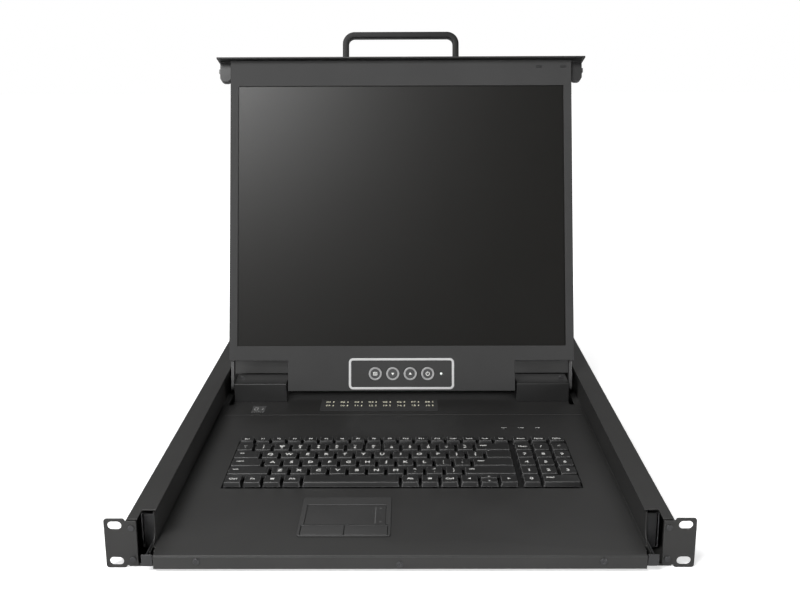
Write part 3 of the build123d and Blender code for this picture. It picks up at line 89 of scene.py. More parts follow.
Mesh = bmesh.types.BMesh
Thing = bpy.types.Object
Tree = bpy.types.NodeTree
Socket = bpy.types.NodeSocket
Colour = tuple[float, float, float]
Point = tuple[float, float]
Key = tuple[Vector, Vector]

NODES: dict[str, Thing] = frame["nodes"]
JOINTS = {joint["name"]: joint for joint in frame["joints"]}
BODY_OF = {node: body for body, nodes in frame["record"]["behaviour"]["bodies"].items() for node in nodes}
SLOT_OF = {part["node"]: part["material_slot"] for part in frame["record"]["subparts"]}


class Edge(Enum):
    """How far the edges of a piece are rounded, in metres."""

    CRISP = 0.12 * MM
    SHEET = 0.3 * MM
    MOULDED = 0.55 * MM


class Side(Enum):
    """The two sides of the drawer: the sign of X, and the word that ends the names of nodes."""

    LEFT = (-1, "left")
    RIGHT = (1, "right")

    @property
    def sign(self) -> int:
        """The sign of X on this side.

        Returns:
            1 on the right, -1 on the left.
        """
        return self.value[0]

    @property
    def word(self) -> str:
        """The word that ends the names of this side's nodes.

        Returns:
            The word.
        """
        return self.value[1]


def at(x: float, y: float, z: float = 0.0) -> Matrix:
    """A move without a turn.

    Args:
        x: the move along X.
        y: the move along Y.
        z: the move along Z.

    Returns:
        The matrix of the move.
    """
    return Matrix.Translation((x, y, z))


# ---------------------------------------------------------------- node trees

class Wiring:
    """Adds nodes to a tree and joins them."""

    CLOUD_RANGE = (0.3, 0.7)

    def __init__(self, tree: Tree) -> None:
        """Keeps the tree that the nodes go into.

        Args:
            tree: the tree.
        """
        self.tree = tree

    def add(self, kind: str, inputs: dict[int | str, Any] | None = None, **settings: Any) -> bpy.types.Node:
        """Adds a node.

        Args:
            kind: the node's type.
            inputs: sockets to join or values to set, by input name or number.
            settings: the node's own properties.

        Returns:
            The node.
        """
        node = self.tree.nodes.new(kind)
        for label, value in settings.items():
            setattr(node, label, value)
        for label, value in (inputs or {}).items():
            if isinstance(value, Socket):
                self.tree.links.new(value, node.inputs[label])
            else:
                node.inputs[label].default_value = value
        return node

    def math(self, operation: str, first: Any, second: Any = 0.0, clamp: bool = False) -> Socket:
        """A sum of two numbers or sockets.

        Args:
            operation: the kind of sum.
            first: its first term.
            second: its second term.
            clamp: whether the result stays between 0 and 1.

        Returns:
            The result's socket.
        """
        node = self.add("ShaderNodeMath", {0: first, 1: second}, operation=operation, use_clamp=clamp)
        return node.outputs[0]

    def mix(self, mask: Any, first: Any, second: Any) -> Socket:
        """The colour between two colours that a mask picks.

        Args:
            mask: 0 for the first colour, 1 for the second.
            first: the first colour.
            second: the second colour.

        Returns:
            The colour's socket.
        """
        node = self.add("ShaderNodeMix", {0: mask, 6: first, 7: second}, data_type="RGBA")
        return node.outputs[2]

    def spread(self, mask: Socket, low: float, high: float) -> Socket:
        """Maps a cloudy mask, which lies mostly in CLOUD_RANGE, to another range.

        Args:
            mask: the mask.
            low: the value for a dark mask.
            high: the value for a light mask.

        Returns:
            The value's socket.
        """
        dark, light = self.CLOUD_RANGE
        return self.add("ShaderNodeMapRange", {0: mask, 1: dark, 2: light, 3: low, 4: high}).outputs[0]

    def noise(self, place: Socket, size: Socket, detail: float) -> Socket:
        """Cloudy noise.

        Args:
            place: the coordinates.
            size: the size of its clouds in millimetres.
            detail: how much finer noise it holds.

        Returns:
            The noise's socket.
        """
        scale = self.math("DIVIDE", PER_METRE, size)
        return self.add("ShaderNodeTexNoise", {"Vector": place, "Detail": detail, "Scale": scale}).outputs[0]

    def end(self, results: dict[Socket, Socket]) -> Tree:
        """Joins the tree's outputs.

        Args:
            results: the socket of each result, by output.

        Returns:
            The finished tree.
        """
        for output, result in results.items():
            self.tree.links.new(result, output)
        return self.tree


def start_group(kind: str, name: str, inputs: dict[str, Any], outputs: dict[str, str]) -> tuple[Wiring, Any, Any]:
    """Starts a node group.

    Args:
        kind: the type of the tree.
        name: the group's name.
        inputs: its inputs, each with its socket type or, for a number, its usual value.
        outputs: its outputs and their socket types.

    Returns:
        The group's wiring, its input node's outputs and its output node's inputs.
    """
    tree = bpy.data.node_groups.new(name, kind)
    for label, value in inputs.items():
        socket_type = value if isinstance(value, str) else "NodeSocketFloat"
        socket = tree.interface.new_socket(label, in_out="INPUT", socket_type=socket_type)
        if not isinstance(value, str):
            socket.default_value = value
    for label, socket_type in outputs.items():
        tree.interface.new_socket(label, in_out="OUTPUT", socket_type=socket_type)
    return Wiring(tree), tree.nodes.new("NodeGroupInput").outputs, tree.nodes.new("NodeGroupOutput").inputs


class ShaderGroups:
    """The effects that several finishes share, each built once as a node group."""

    TREE = "ShaderNodeTree"
    BEVEL_SAMPLES = 4
    FINE_SHARE = 0.3
    LINE_STRETCH = (1.0, 0.015, 1.0)

    @staticmethod
    @functools.cache
    def texture() -> Tree:
        """Fine coat or moulding texture: a height, and a slow change of tone. Sizes in millimetres.

        Returns:
            The node group.
        """
        wires, source, target = start_group(ShaderGroups.TREE, "fine_texture", {"Grain": 0.5, "Patch": 60.0},
                                            {"Height": "NodeSocketFloat", "Tone": "NodeSocketFloat"})
        place = wires.add("ShaderNodeTexCoord").outputs["Object"]
        fine = wires.noise(place, source["Grain"], 2.0)
        broad = wires.noise(place, source["Patch"], 4.0)
        tone = wires.math("ADD", wires.math("MULTIPLY", fine, ShaderGroups.FINE_SHARE),
                          wires.math("MULTIPLY", broad, 1 - ShaderGroups.FINE_SHARE))
        return wires.end({target["Height"]: fine, target["Tone"]: tone})

    @staticmethod
    @functools.cache
    def edge() -> Tree:
        """Rounded corners: a mask that is strong on edges, which lightens them as wear and as painted highlight,
        and the rounded normal. Radius in millimetres.

        Returns:
            The node group.
        """
        wires, source, target = start_group(ShaderGroups.TREE, "edge_wear_and_painted_highlight", {"Radius": 0.5, "Sharpness": 5.0},
                                            {"Mask": "NodeSocketFloat", "Normal": "NodeSocketVector"})
        rounded = wires.add("ShaderNodeBevel", {"Radius": wires.math("MULTIPLY", source["Radius"], MM)},
                            samples=ShaderGroups.BEVEL_SAMPLES).outputs[0]
        face = wires.add("ShaderNodeNewGeometry").outputs["Normal"]
        same = wires.add("ShaderNodeVectorMath", {0: rounded, 1: face}, operation="DOT_PRODUCT").outputs["Value"]
        mask = wires.math("MULTIPLY", wires.math("SUBTRACT", 1.0, same), source["Sharpness"], clamp=True)
        return wires.end({target["Mask"]: mask, target["Normal"]: rounded})

    @staticmethod
    @functools.cache
    def dust() -> Tree:
        """Thin dust in patches on the faces that look upwards. Patch size in millimetres.

        Returns:
            The node group.
        """
        wires, source, target = start_group(ShaderGroups.TREE, "dust", {"Amount": 0.02, "Patch": 30.0},
                                            {"Mask": "NodeSocketFloat"})
        place = wires.add("ShaderNodeTexCoord").outputs
        cloud = wires.noise(place["Object"], source["Patch"], 5.0)
        height = wires.add("ShaderNodeSeparateXYZ", {0: place["Normal"]}).outputs["Z"]
        cover = wires.math("MULTIPLY", cloud, wires.math("MAXIMUM", height, 0.0))
        return wires.end({target["Mask"]: wires.math("MULTIPLY", cover, source["Amount"], clamp=True)})

    @staticmethod
    @functools.cache
    def brushed() -> Tree:
        """Long fine lines of drawn or brushed metal, along Y. Line width in millimetres.

        Returns:
            The node group.
        """
        wires, source, target = start_group(ShaderGroups.TREE, "brushed_lines", {"Line": 0.25},
                                            {"Lines": "NodeSocketFloat"})
        place = wires.add("ShaderNodeTexCoord").outputs["Object"]
        drawn = wires.add("ShaderNodeMapping", {"Vector": place, "Scale": ShaderGroups.LINE_STRETCH}).outputs[0]
        return wires.end({target["Lines"]: wires.noise(drawn, source["Line"], 3.0)})


@dataclass(frozen=True)
class Finish:
    """A surface finish: colour, gloss, grain, edges lightened as wear and as painted highlight, and how its dust
    shows.

    Grain and edge radius are in millimetres. Relief is the grain's height as a share of its size.
    """

    DUST_COLOUR: ClassVar[tuple[float, ...]] = (0.42, 0.40, 0.37, 1.0)
    BRUSHED_TONE: ClassVar[tuple[float, float]] = (0.85, 1.15)
    COAT_ROUGHNESS: ClassVar[float] = 0.12
    SMOOTHEST: ClassVar[float] = 0.02
    PATCH: ClassVar[float] = 60.0
    PATCH_PER_GRAIN: ClassVar[float] = 40.0

    name: str
    colour: Colour
    roughness: float = 0.45
    metallic: float = 0.0
    grain: float = 0.5
    relief: float = 0.06
    variation: float = 0.12
    edge_radius: float = 0.5
    # Colour added on edges: wear on most finishes, a painted highlight where it is large.
    edge_light: float = 0.06
    dust: float = 0.01
    coat: float = 0.0
    specular: float = 0.5
    brushed: bool = False
    glow: float = 0.0

    def material(self) -> bpy.types.Material:
        """The Blender material of this finish, built once.

        Returns:
            The material.
        """
        if self.name in bpy.data.materials:
            return bpy.data.materials[self.name]
        made = bpy.data.materials.new(self.name)
        made.use_nodes = True
        wires = Wiring(made.node_tree)
        shader = made.node_tree.nodes["Principled BSDF"]
        texture = wires.add("ShaderNodeGroup", {
            "Grain": self.grain, "Patch": self.PATCH + self.PATCH_PER_GRAIN * self.grain},
            node_tree=ShaderGroups.texture())
        edge = wires.add("ShaderNodeGroup", {"Radius": self.edge_radius}, node_tree=ShaderGroups.edge())
        dust = wires.add("ShaderNodeGroup", {"Amount": self.dust}, node_tree=ShaderGroups.dust())
        tone = wires.spread(texture.outputs["Tone"], 1 - self.variation, 1 + self.variation)
        if self.brushed:
            lines = wires.add("ShaderNodeGroup", node_tree=ShaderGroups.brushed())
            tone = wires.math("MULTIPLY", tone, wires.spread(lines.outputs["Lines"], *self.BRUSHED_TONE))
        shade = wires.add("ShaderNodeVectorMath", {0: self.colour, "Scale": tone}, operation="SCALE")
        # Edges are lightened by edge_light: partly wear, partly a painted highlight.
        light = tuple(c + self.edge_light for c in self.colour)
        worn_and_highlit = wires.mix(edge.outputs["Mask"], shade.outputs[0], (*light, 1.0))
        dusty = wires.mix(dust.outputs["Mask"], worn_and_highlit, self.DUST_COLOUR)
        uneven = self.variation / 2
        rough = wires.spread(texture.outputs["Tone"], max(self.SMOOTHEST, self.roughness - uneven),
                             min(1.0, self.roughness + uneven))
        bump = wires.add("ShaderNodeBump", {"Strength": 1.0, "Distance": self.grain * self.relief * MM,
                                            "Height": texture.outputs["Height"], "Normal": edge.outputs["Normal"]})
        for label, socket in (("Base Color", dusty), ("Roughness", rough), ("Normal", bump.outputs[0])):
            made.node_tree.links.new(socket, shader.inputs[label])
        for label, value in (("Metallic", self.metallic), ("Specular IOR Level", self.specular),
                             ("Coat Weight", self.coat), ("Coat Roughness", self.COAT_ROUGHNESS),
                             ("Emission Strength", self.glow)):
            shader.inputs[label].default_value = value
        if self.glow:
            made.node_tree.links.new(dusty, shader.inputs["Emission Color"])
        return made


class Shop:
    """The finishes of the drawer."""

    CASE = Finish("black_powder_coat", (0.017, 0.0167, 0.0160), 0.46, grain=0.55, relief=0.10, dust=0.012)
    DRAWER = Finish("black_satin_coat", (0.021, 0.0208, 0.0203), 0.48, grain=0.45, relief=0.08, dust=0.008)
    BEZEL = Finish("dark_grey_moulding", (0.035, 0.035, 0.035), 0.72, grain=0.35, relief=0.07, specular=0.20)
    PLATE = Finish("black_plate_coat", (0.009, 0.009, 0.009), 0.46, grain=0.45, relief=0.08)
    HANDLE = Finish("black_handle_coat", (0.006, 0.006, 0.006), 0.46, grain=0.4, relief=0.05, specular=0.24)
    HINGE = Finish("dark_cast_metal", (0.015, 0.015, 0.015), 0.46, grain=0.6, relief=0.10)
    ARM = Finish("blackened_arm_steel", (0.10, 0.10, 0.10), 0.38, metallic=0.7, grain=0.3, relief=0.04)
    BACK = Finish("black_shell_coat", (0.018, 0.018, 0.018), 0.48, grain=0.5, relief=0.10, dust=0.01)
    SCREEN = Finish("matt_screen_glass", (0.0040, 0.0037, 0.0029), 0.35, grain=0.12, relief=0.02,
                    variation=0.012, edge_light=0.0, dust=0.0, edge_radius=0.2, specular=0.34)
    # edge_light 0.42 paints a highlight on the key edges, in place of the light they catch.
    KEY = Finish("black_key_plastic", (0.013, 0.013, 0.0132), 0.40, grain=0.3, relief=0.10, edge_light=0.42,
                 edge_radius=0.6)
    LEGEND = Finish("white_key_print", (0.72, 0.72, 0.70), 0.55, grain=0.3, relief=0.02, edge_light=0.0,
                    edge_radius=0.02, dust=0.0)
    PRINT = replace(LEGEND, name="pale_grey_print", colour=(0.40, 0.40, 0.39))
    # Its glow suits the port lamps; on the printed port numbers it is a painted glow.
    DIGITS = replace(LEGEND, name="warm_white_lamps_and_print_with_painted_glow", colour=(0.66, 0.64, 0.50), roughness=0.5, glow=0.12)
    RUBBER = Finish("black_rubber", (0.006, 0.006, 0.006), 0.75, grain=0.3, relief=0.05, edge_light=0.0)
    PAD = Finish("touch_surface", (0.036, 0.036, 0.036), 0.34, grain=0.25, relief=0.05)
    PAD_RIM = Finish("touchpad_moulding", (0.034, 0.034, 0.034), 0.46, grain=0.35, relief=0.08)
    FILM = Finish("indicator_film", (0.0060, 0.0060, 0.0058), 0.60, grain=0.3, relief=0.04, specular=0.3)
    LENS = Finish("smoked_lens", (0.085, 0.086, 0.080), 0.26, grain=0.4, relief=0.02, coat=0.4)
    SILVER = Finish("silver_outline", (0.60, 0.60, 0.60), 0.34, metallic=0.35, grain=0.25, relief=0.03,
                    variation=0.05, edge_light=0.08, edge_radius=0.2)
    RING = Finish("silver_button_ring", (0.34, 0.34, 0.34), 0.36, metallic=0.3, grain=0.2, relief=0.03,
                  edge_light=0.05, edge_radius=0.15)
    BUTTON = Finish("dark_button_plastic", (0.045, 0.045, 0.046), 0.40, grain=0.25, relief=0.05, edge_radius=0.2)
    LAMP = Finish("lit_lamp", (0.75, 0.78, 0.75), 0.3, grain=0.3, relief=0.02, glow=0.35, dust=0.0)
    ZINC = Finish("zinc_slide_steel", (0.36, 0.36, 0.37), 0.34, metallic=0.9, grain=0.6, relief=0.03, brushed=True)
    DARK_ZINC = Finish("blackened_slide_steel", (0.035, 0.035, 0.036), 0.38, metallic=0.3, grain=0.4,
                       relief=0.04, brushed=True)
    BRASS = Finish("cage_brass", (0.42, 0.33, 0.18), 0.36, metallic=0.9, grain=0.5, relief=0.03, brushed=True)
    SCREW = Finish("black_screw_steel", (0.05, 0.05, 0.052), 0.34, metallic=0.5, grain=0.2, relief=0.04)
    BOARD = Finish("green_solder_mask", (0.012, 0.075, 0.030), 0.30, grain=1.5, relief=0.02, coat=0.2)
    SOCKET = Finish("nickel_socket", (0.50, 0.50, 0.49), 0.28, metallic=1.0, grain=0.3, relief=0.02)
    INSULATOR = Finish("blue_insulator", (0.020, 0.055, 0.22), 0.42, grain=0.3, relief=0.05)
    # Near-black discs for the socket pin holes: painted shade in place of real holes.
    HOLE = Finish("painted_pin_hole_shade", (0.004, 0.004, 0.004), 0.6, grain=0.3, relief=0.02, edge_light=0.0)
    INLET = Finish("black_inlet_nylon", (0.016, 0.016, 0.016), 0.38, grain=0.3, relief=0.06)
    SUPPLY = Finish("galvanised_box", (0.38, 0.38, 0.39), 0.42, metallic=0.85, grain=3.0, relief=0.01)
    LATCH = Finish("grey_latch_nylon", (0.13, 0.13, 0.13), 0.42, grain=0.3, relief=0.05)
    FLOOR = Finish("studio_floor", (0.80, 0.80, 0.80), 0.75, grain=4.0, relief=0.0, variation=0.01,
                   edge_light=0.0, dust=0.0)

    BY_SLOT = {
        "case_steel": CASE, "drawer_steel": DRAWER, "slide_steel": ZINC, "cage_steel": BRASS,
        "screw_steel": SCREW, "bezel_plastic": BEZEL, "display_steel": PLATE, "screen_glass": SCREEN,
        "handle_metal": HANDLE, "hinge_metal": HINGE, "key_plastic": KEY, "keyboard_plastic": KEY,
        "pad_plastic": PAD_RIM, "indicator_film": FILM, "trim_silver": SILVER, "button_plastic": BUTTON,
        "display_window": LENS, "board_green": BOARD, "socket_metal": SOCKET, "inlet_plastic": INLET,
        "supply_metal": SUPPLY, "latch_plastic": LATCH,
    }


# ---------------------------------------------------------------- frame measures

def merged(node: str) -> Mesh:
    """A CAD node's mesh with its loose triangles joined and its flat faces whole.

    Args:
        node: the CAD node.

    Returns:
        A new mesh, which the caller frees.
    """
    mesh = bmesh.new()
    mesh.from_mesh(NODES[node].data)
    bmesh.ops.remove_doubles(mesh, verts=mesh.verts, dist=CAD_WELD)
    bmesh.ops.dissolve_limit(mesh, angle_limit=math.radians(FLAT_ANGLE), verts=mesh.verts, edges=mesh.edges,
                             delimit={"NORMAL"})
    return mesh


def corners(points: Iterable[Vector]) -> Key:
    """The box around points.

    Args:
        points: the points.

    Returns:
        The box's lowest and highest corner.
    """
    lists = list(zip(*points))
    return Vector(min(values) for values in lists), Vector(max(values) for values in lists)


def islands(node: str) -> list[Key]:
    """The boxes of a node's separate solids, from left to right.

    Args:
        node: the CAD node.

    Returns:
        The lowest and the highest corner of each solid.
    """
    mesh = merged(node)
    left = set(mesh.verts)
    boxes: list[Key] = []
    while left:
        reach = [left.pop()]
        found = list(reach)
        while reach:
            vertex = reach.pop()
            for edge in vertex.link_edges:
                other = edge.other_vert(vertex)
                if other in left:
                    left.remove(other)
                    reach.append(other)
                    found.append(other)
        boxes.append(corners(v.co for v in found))
    mesh.free()
    return sorted(boxes, key=lambda box: (round(box[0].x, 5), box[0].y, box[0].z))


def box_in(node: str, place: Matrix) -> Key:
    """A CAD node's box in another frame.

    Args:
        node: the CAD node.
        place: the frame, as the matrix from it to the row frame.

    Returns:
        The lowest and the highest corner in that frame.
    """
    back = place.inverted()
    return corners(back @ v.co for v in NODES[node].data.vertices)


def display_place() -> Matrix:
    """The open display's frame: X right, Y up the screen from the hinge axis, Z to the viewer.

    Returns:
        The matrix from it to the row frame.
    """
    hinge = JOINTS["display_hinge"]
    lean = math.radians(hinge["range_deg"][1] - 90)
    rise = Vector((0, math.sin(lean), math.cos(lean)))
    out = Vector((0, -math.cos(lean), math.sin(lean)))
    turn = Matrix((Vector((1, 0, 0)), rise, out)).transposed().to_4x4()
    return Matrix.Translation(hinge["pos_m"]) @ turn


# ---------------------------------------------------------------- mesh making

class Maker:
    """Builds closed meshes and turns them into finished pieces."""

    @staticmethod
    def rounded_rectangle(width: float, depth: float, radius: float, steps: int = 4) -> list[Point]:
        """The outline of a rectangle with rounded corners, centred, turning left.

        Args:
            width: its size along X.
            depth: its size along Y.
            radius: the corners' radius.
            steps: how many edges each corner has.

        Returns:
            The outline's points.
        """
        points: list[Point] = []
        for corner, (x, y) in enumerate(((1, 1), (-1, 1), (-1, -1), (1, -1))):
            for step in range(steps + 1):
                angle = math.pi / 2 * (corner + step / steps)
                points.append((x * (width / 2 - radius) + radius * math.cos(angle),
                               y * (depth / 2 - radius) + radius * math.sin(angle)))
        return points

    @staticmethod
    def circle(radius: float, steps: int = 24) -> list[Point]:
        """The points of a circle, turning left.

        Args:
            radius: its radius.
            steps: how many points it has.

        Returns:
            The points.
        """
        return [(radius * math.cos(2 * math.pi * i / steps), radius * math.sin(2 * math.pi * i / steps))
                for i in range(steps)]

    @staticmethod
    def walls(mesh: Mesh, rows: Sequence[Sequence[bmesh.types.BMVert]], ends: bool = False) -> None:
        """Joins rows of equally many vertices with faces.

        Args:
            mesh: the mesh that they belong to.
            rows: the rows, from the bottom to the top.
            ends: whether the first and the last row are closed too.
        """
        count = len(rows[0])
        for low, high in zip(rows, rows[1:]):
            for i in range(count):
                j = (i + 1) % count
                mesh.faces.new((low[i], low[j], high[j], high[i]))
        if ends:
            mesh.faces.new(list(reversed(rows[0])))
            mesh.faces.new(rows[-1])

    @classmethod
    def stack(cls, mesh: Mesh, rings: Sequence[tuple[Sequence[Point], float]],
              place: Matrix) -> None:
        """Adds a closed shape that goes through rings of equal length, from its bottom to its top.

        Args:
            mesh: the mesh to add to.
            rings: each ring's points and its height.
            place: where the shape stands.
        """
        rows = [[mesh.verts.new(place @ Vector((x, y, z))) for x, y in ring] for ring, z in rings]
        cls.walls(mesh, rows, ends=True)

    @classmethod
    def slab(cls, mesh: Mesh, outline: Sequence[Point], low: float, high: float, place: Matrix,
             edge: float = 0.0) -> None:
        """Adds an upright slab, with a rounded top edge if asked.

        Args:
            mesh: the mesh to add to.
            outline: its outline, centred.
            low: its lower face.
            high: its upper face.
            place: where it stands.
            edge: the radius of its top edge.
        """
        rings: list[tuple[Sequence[Point], float]] = [(outline, low), (outline, high - edge)]
        reach = max(math.hypot(x, y) for x, y in outline)
        if edge:
            for turn in (30, 60, 90):
                inset = edge * (1 - math.cos(math.radians(turn)))
                share = 1 - inset / reach
                rings.append(([(x * share, y * share) for x, y in outline],
                              high - edge + edge * math.sin(math.radians(turn))))
        cls.stack(mesh, rings, place)

    @classmethod
    def block(cls, mesh: Mesh, size: tuple[float, float, float], low: float, high: float,
              place: Matrix, steps: int = 2, edge: float = 0.0) -> None:
        """Adds an upright slab whose outline is a rounded rectangle.

        Args:
            mesh: the mesh to add to.
            size: its width, its depth and the radius of its corners.
            low: its lower face.
            high: its upper face.
            place: where it stands.
            steps: how many edges each corner has.
            edge: the radius of its top edge.
        """
        cls.slab(mesh, cls.rounded_rectangle(*size, steps), low, high, place, edge)

    @classmethod
    def arrow(cls, mesh: Mesh, shape: tuple[float, float, float], low: float, high: float,
              place: Matrix, turn: float) -> None:
        """Adds a printed arrow head.

        Args:
            mesh: the mesh to add to.
            shape: how far its tip, its tail and its sides are from its middle.
            low: its lower face.
            high: its upper face.
            place: where it stands.
            turn: which way it points, in degrees from right.
        """
        tip, tail, half = shape
        cls.slab(mesh, [(tip, 0.0), (-tail, half), (-tail, -half)], low, high,
                 place @ Matrix.Rotation(math.radians(turn), 4, "Z"))

    @classmethod
    def lathe(cls, mesh: Mesh, profile: Sequence[Point], place: Matrix, steps: int = 32) -> None:
        """Adds a turned shape.

        Args:
            mesh: the mesh to add to.
            profile: its radius and height from the bottom to the top.
            place: where its axis stands.
            steps: how many sides it has.
        """
        cls.stack(mesh, [(cls.circle(radius, steps), height) for radius, height in profile], place)

    @classmethod
    def tube(cls, mesh: Mesh, outer: Sequence[Point], inner: Sequence[Point], low: float,
             high: float, place: Matrix) -> None:
        """Adds a ring or frame with straight walls.

        Args:
            mesh: the mesh to add to.
            outer: its outer outline.
            inner: its inner outline, with as many points.
            low: its lower face.
            high: its upper face.
            place: where it stands.
        """
        loops = [[mesh.verts.new(place @ Vector((x, y, z))) for x, y in ring]
                 for ring, z in ((outer, low), (outer, high), (inner, high), (inner, low))]
        cls.walls(mesh, loops + loops[:1])

    @staticmethod
    def letters(mesh: Mesh, text: str, size: float, place: Matrix, thickness: float,
                centred: bool = False) -> None:
        """Adds printed characters as thin solids.

        Args:
            mesh: the mesh to add to.
            text: the characters.
            size: their height, roughly.
            place: where the text starts, or its middle.
            thickness: how far the print goes down from its face.
            centred: whether the text is centred on its place.
        """
        curve = bpy.data.curves.new("print", "FONT")
        curve.body = text
        curve.size = size
        curve.extrude = thickness / 2
        curve.resolution_u = 2
        curve.offset = size * PRINT_BOLDNESS
        curve.align_x = "CENTER" if centred else "LEFT"
        curve.align_y = "CENTER" if centred else "TOP_BASELINE"
        holder = bpy.data.objects.new("print", curve)
        bpy.context.scene.collection.objects.link(holder)
        bpy.context.view_layer.update()
        made = bpy.data.meshes.new_from_object(holder.evaluated_get(bpy.context.evaluated_depsgraph_get()))
        made.transform(place @ Matrix.Translation((0, 0, -thickness / 2)))
        mesh.from_mesh(made)
        bpy.data.objects.remove(holder)
        bpy.data.curves.remove(curve)
        bpy.data.meshes.remove(made)

    @staticmethod
    def object(name: str, mesh: Mesh, finish: Finish | None, smooth: float = 35.0,
               outward: bool = True) -> Thing:
        """Turns a mesh into an object at the origin.

        Args:
            name: the object's name.
            mesh: its mesh, which is freed.
            finish: its finish, if it has only one.
            smooth: edges that turn less than this, in degrees, are shaded smooth.
            outward: whether the faces are turned outwards first.

        Returns:
            The object.
        """
        if outward:
            bmesh.ops.remove_doubles(mesh, verts=mesh.verts, dist=WELD)
            bmesh.ops.recalc_face_normals(mesh, faces=mesh.faces)
        data = bpy.data.meshes.new(name)
        mesh.to_mesh(data)
        mesh.free()
        for layer in ("custom_normal", "sharp_face"):
            if layer in data.attributes:
                data.attributes.remove(data.attributes[layer])
        data.polygons.foreach_set("use_smooth", [True] * len(data.polygons))
        data.set_sharp_from_angle(angle=math.radians(smooth))
        data.materials.clear()
        if finish:
            data.materials.append(finish.material())
        made = bpy.data.objects.new(name, data)
        bpy.context.scene.collection.objects.link(made)
        return made

    @staticmethod
    def mount(piece: Thing, node: str, replaced: Iterable[str] = (),
              slot: str | None = None) -> None:
        """Joins a finished piece to the frame.

        Args:
            piece: the piece.
            node: the CAD node whose body it rides on and whose slot it takes.
            replaced: the CAD nodes that it stands for.
            slot: not used.
        """
        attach(piece, BODY_OF[node])
        if replaced:
            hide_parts(*replaced)
        LOG.info("%s rides on %s", piece.name, BODY_OF[node])

    @classmethod
    def soften(cls, node: str, name: str, edge: Edge, finish: Finish | None = None,
               segments: int = 2) -> Thing:
        """Replaces a CAD node with the same shape with rounded edges.

        Args:
            node: the CAD node.
            name: the new piece's name.
            edge: how far its edges are rounded.
            finish: its finish, if it isn't its slot's.
            segments: how many faces round each edge.

        Returns:
            The piece.
        """
        piece = cls.object(name, merged(node), finish or Shop.BY_SLOT[SLOT_OF[node]], smooth=30.0, outward=False)
        bevel = piece.modifiers.new("rounded edges", "BEVEL")
        bevel.width = edge.value
        bevel.segments = segments
        bevel.limit_method = "ANGLE"
        bevel.angle_limit = math.radians(BEVEL_ABOVE)
        bevel.use_clamp_overlap = False
        bevel.harden_normals = True
        cls.mount(piece, node, [node])
        return piece

    @staticmethod
    def dress(node: str, finish: Finish | None = None) -> None:
        """Gives a CAD node that keeps its shape its finish.

        Args:
            node: the CAD node.
            finish: its finish, if it isn't its slot's.
        """
        material = (finish or Shop.BY_SLOT[SLOT_OF[node]]).material()
        thing = NODES[node]
        if thing.material_slots:
            thing.material_slots[0].material = material
        else:
            thing.data.materials.append(material)
        LOG.info("%s keeps its shape", node)


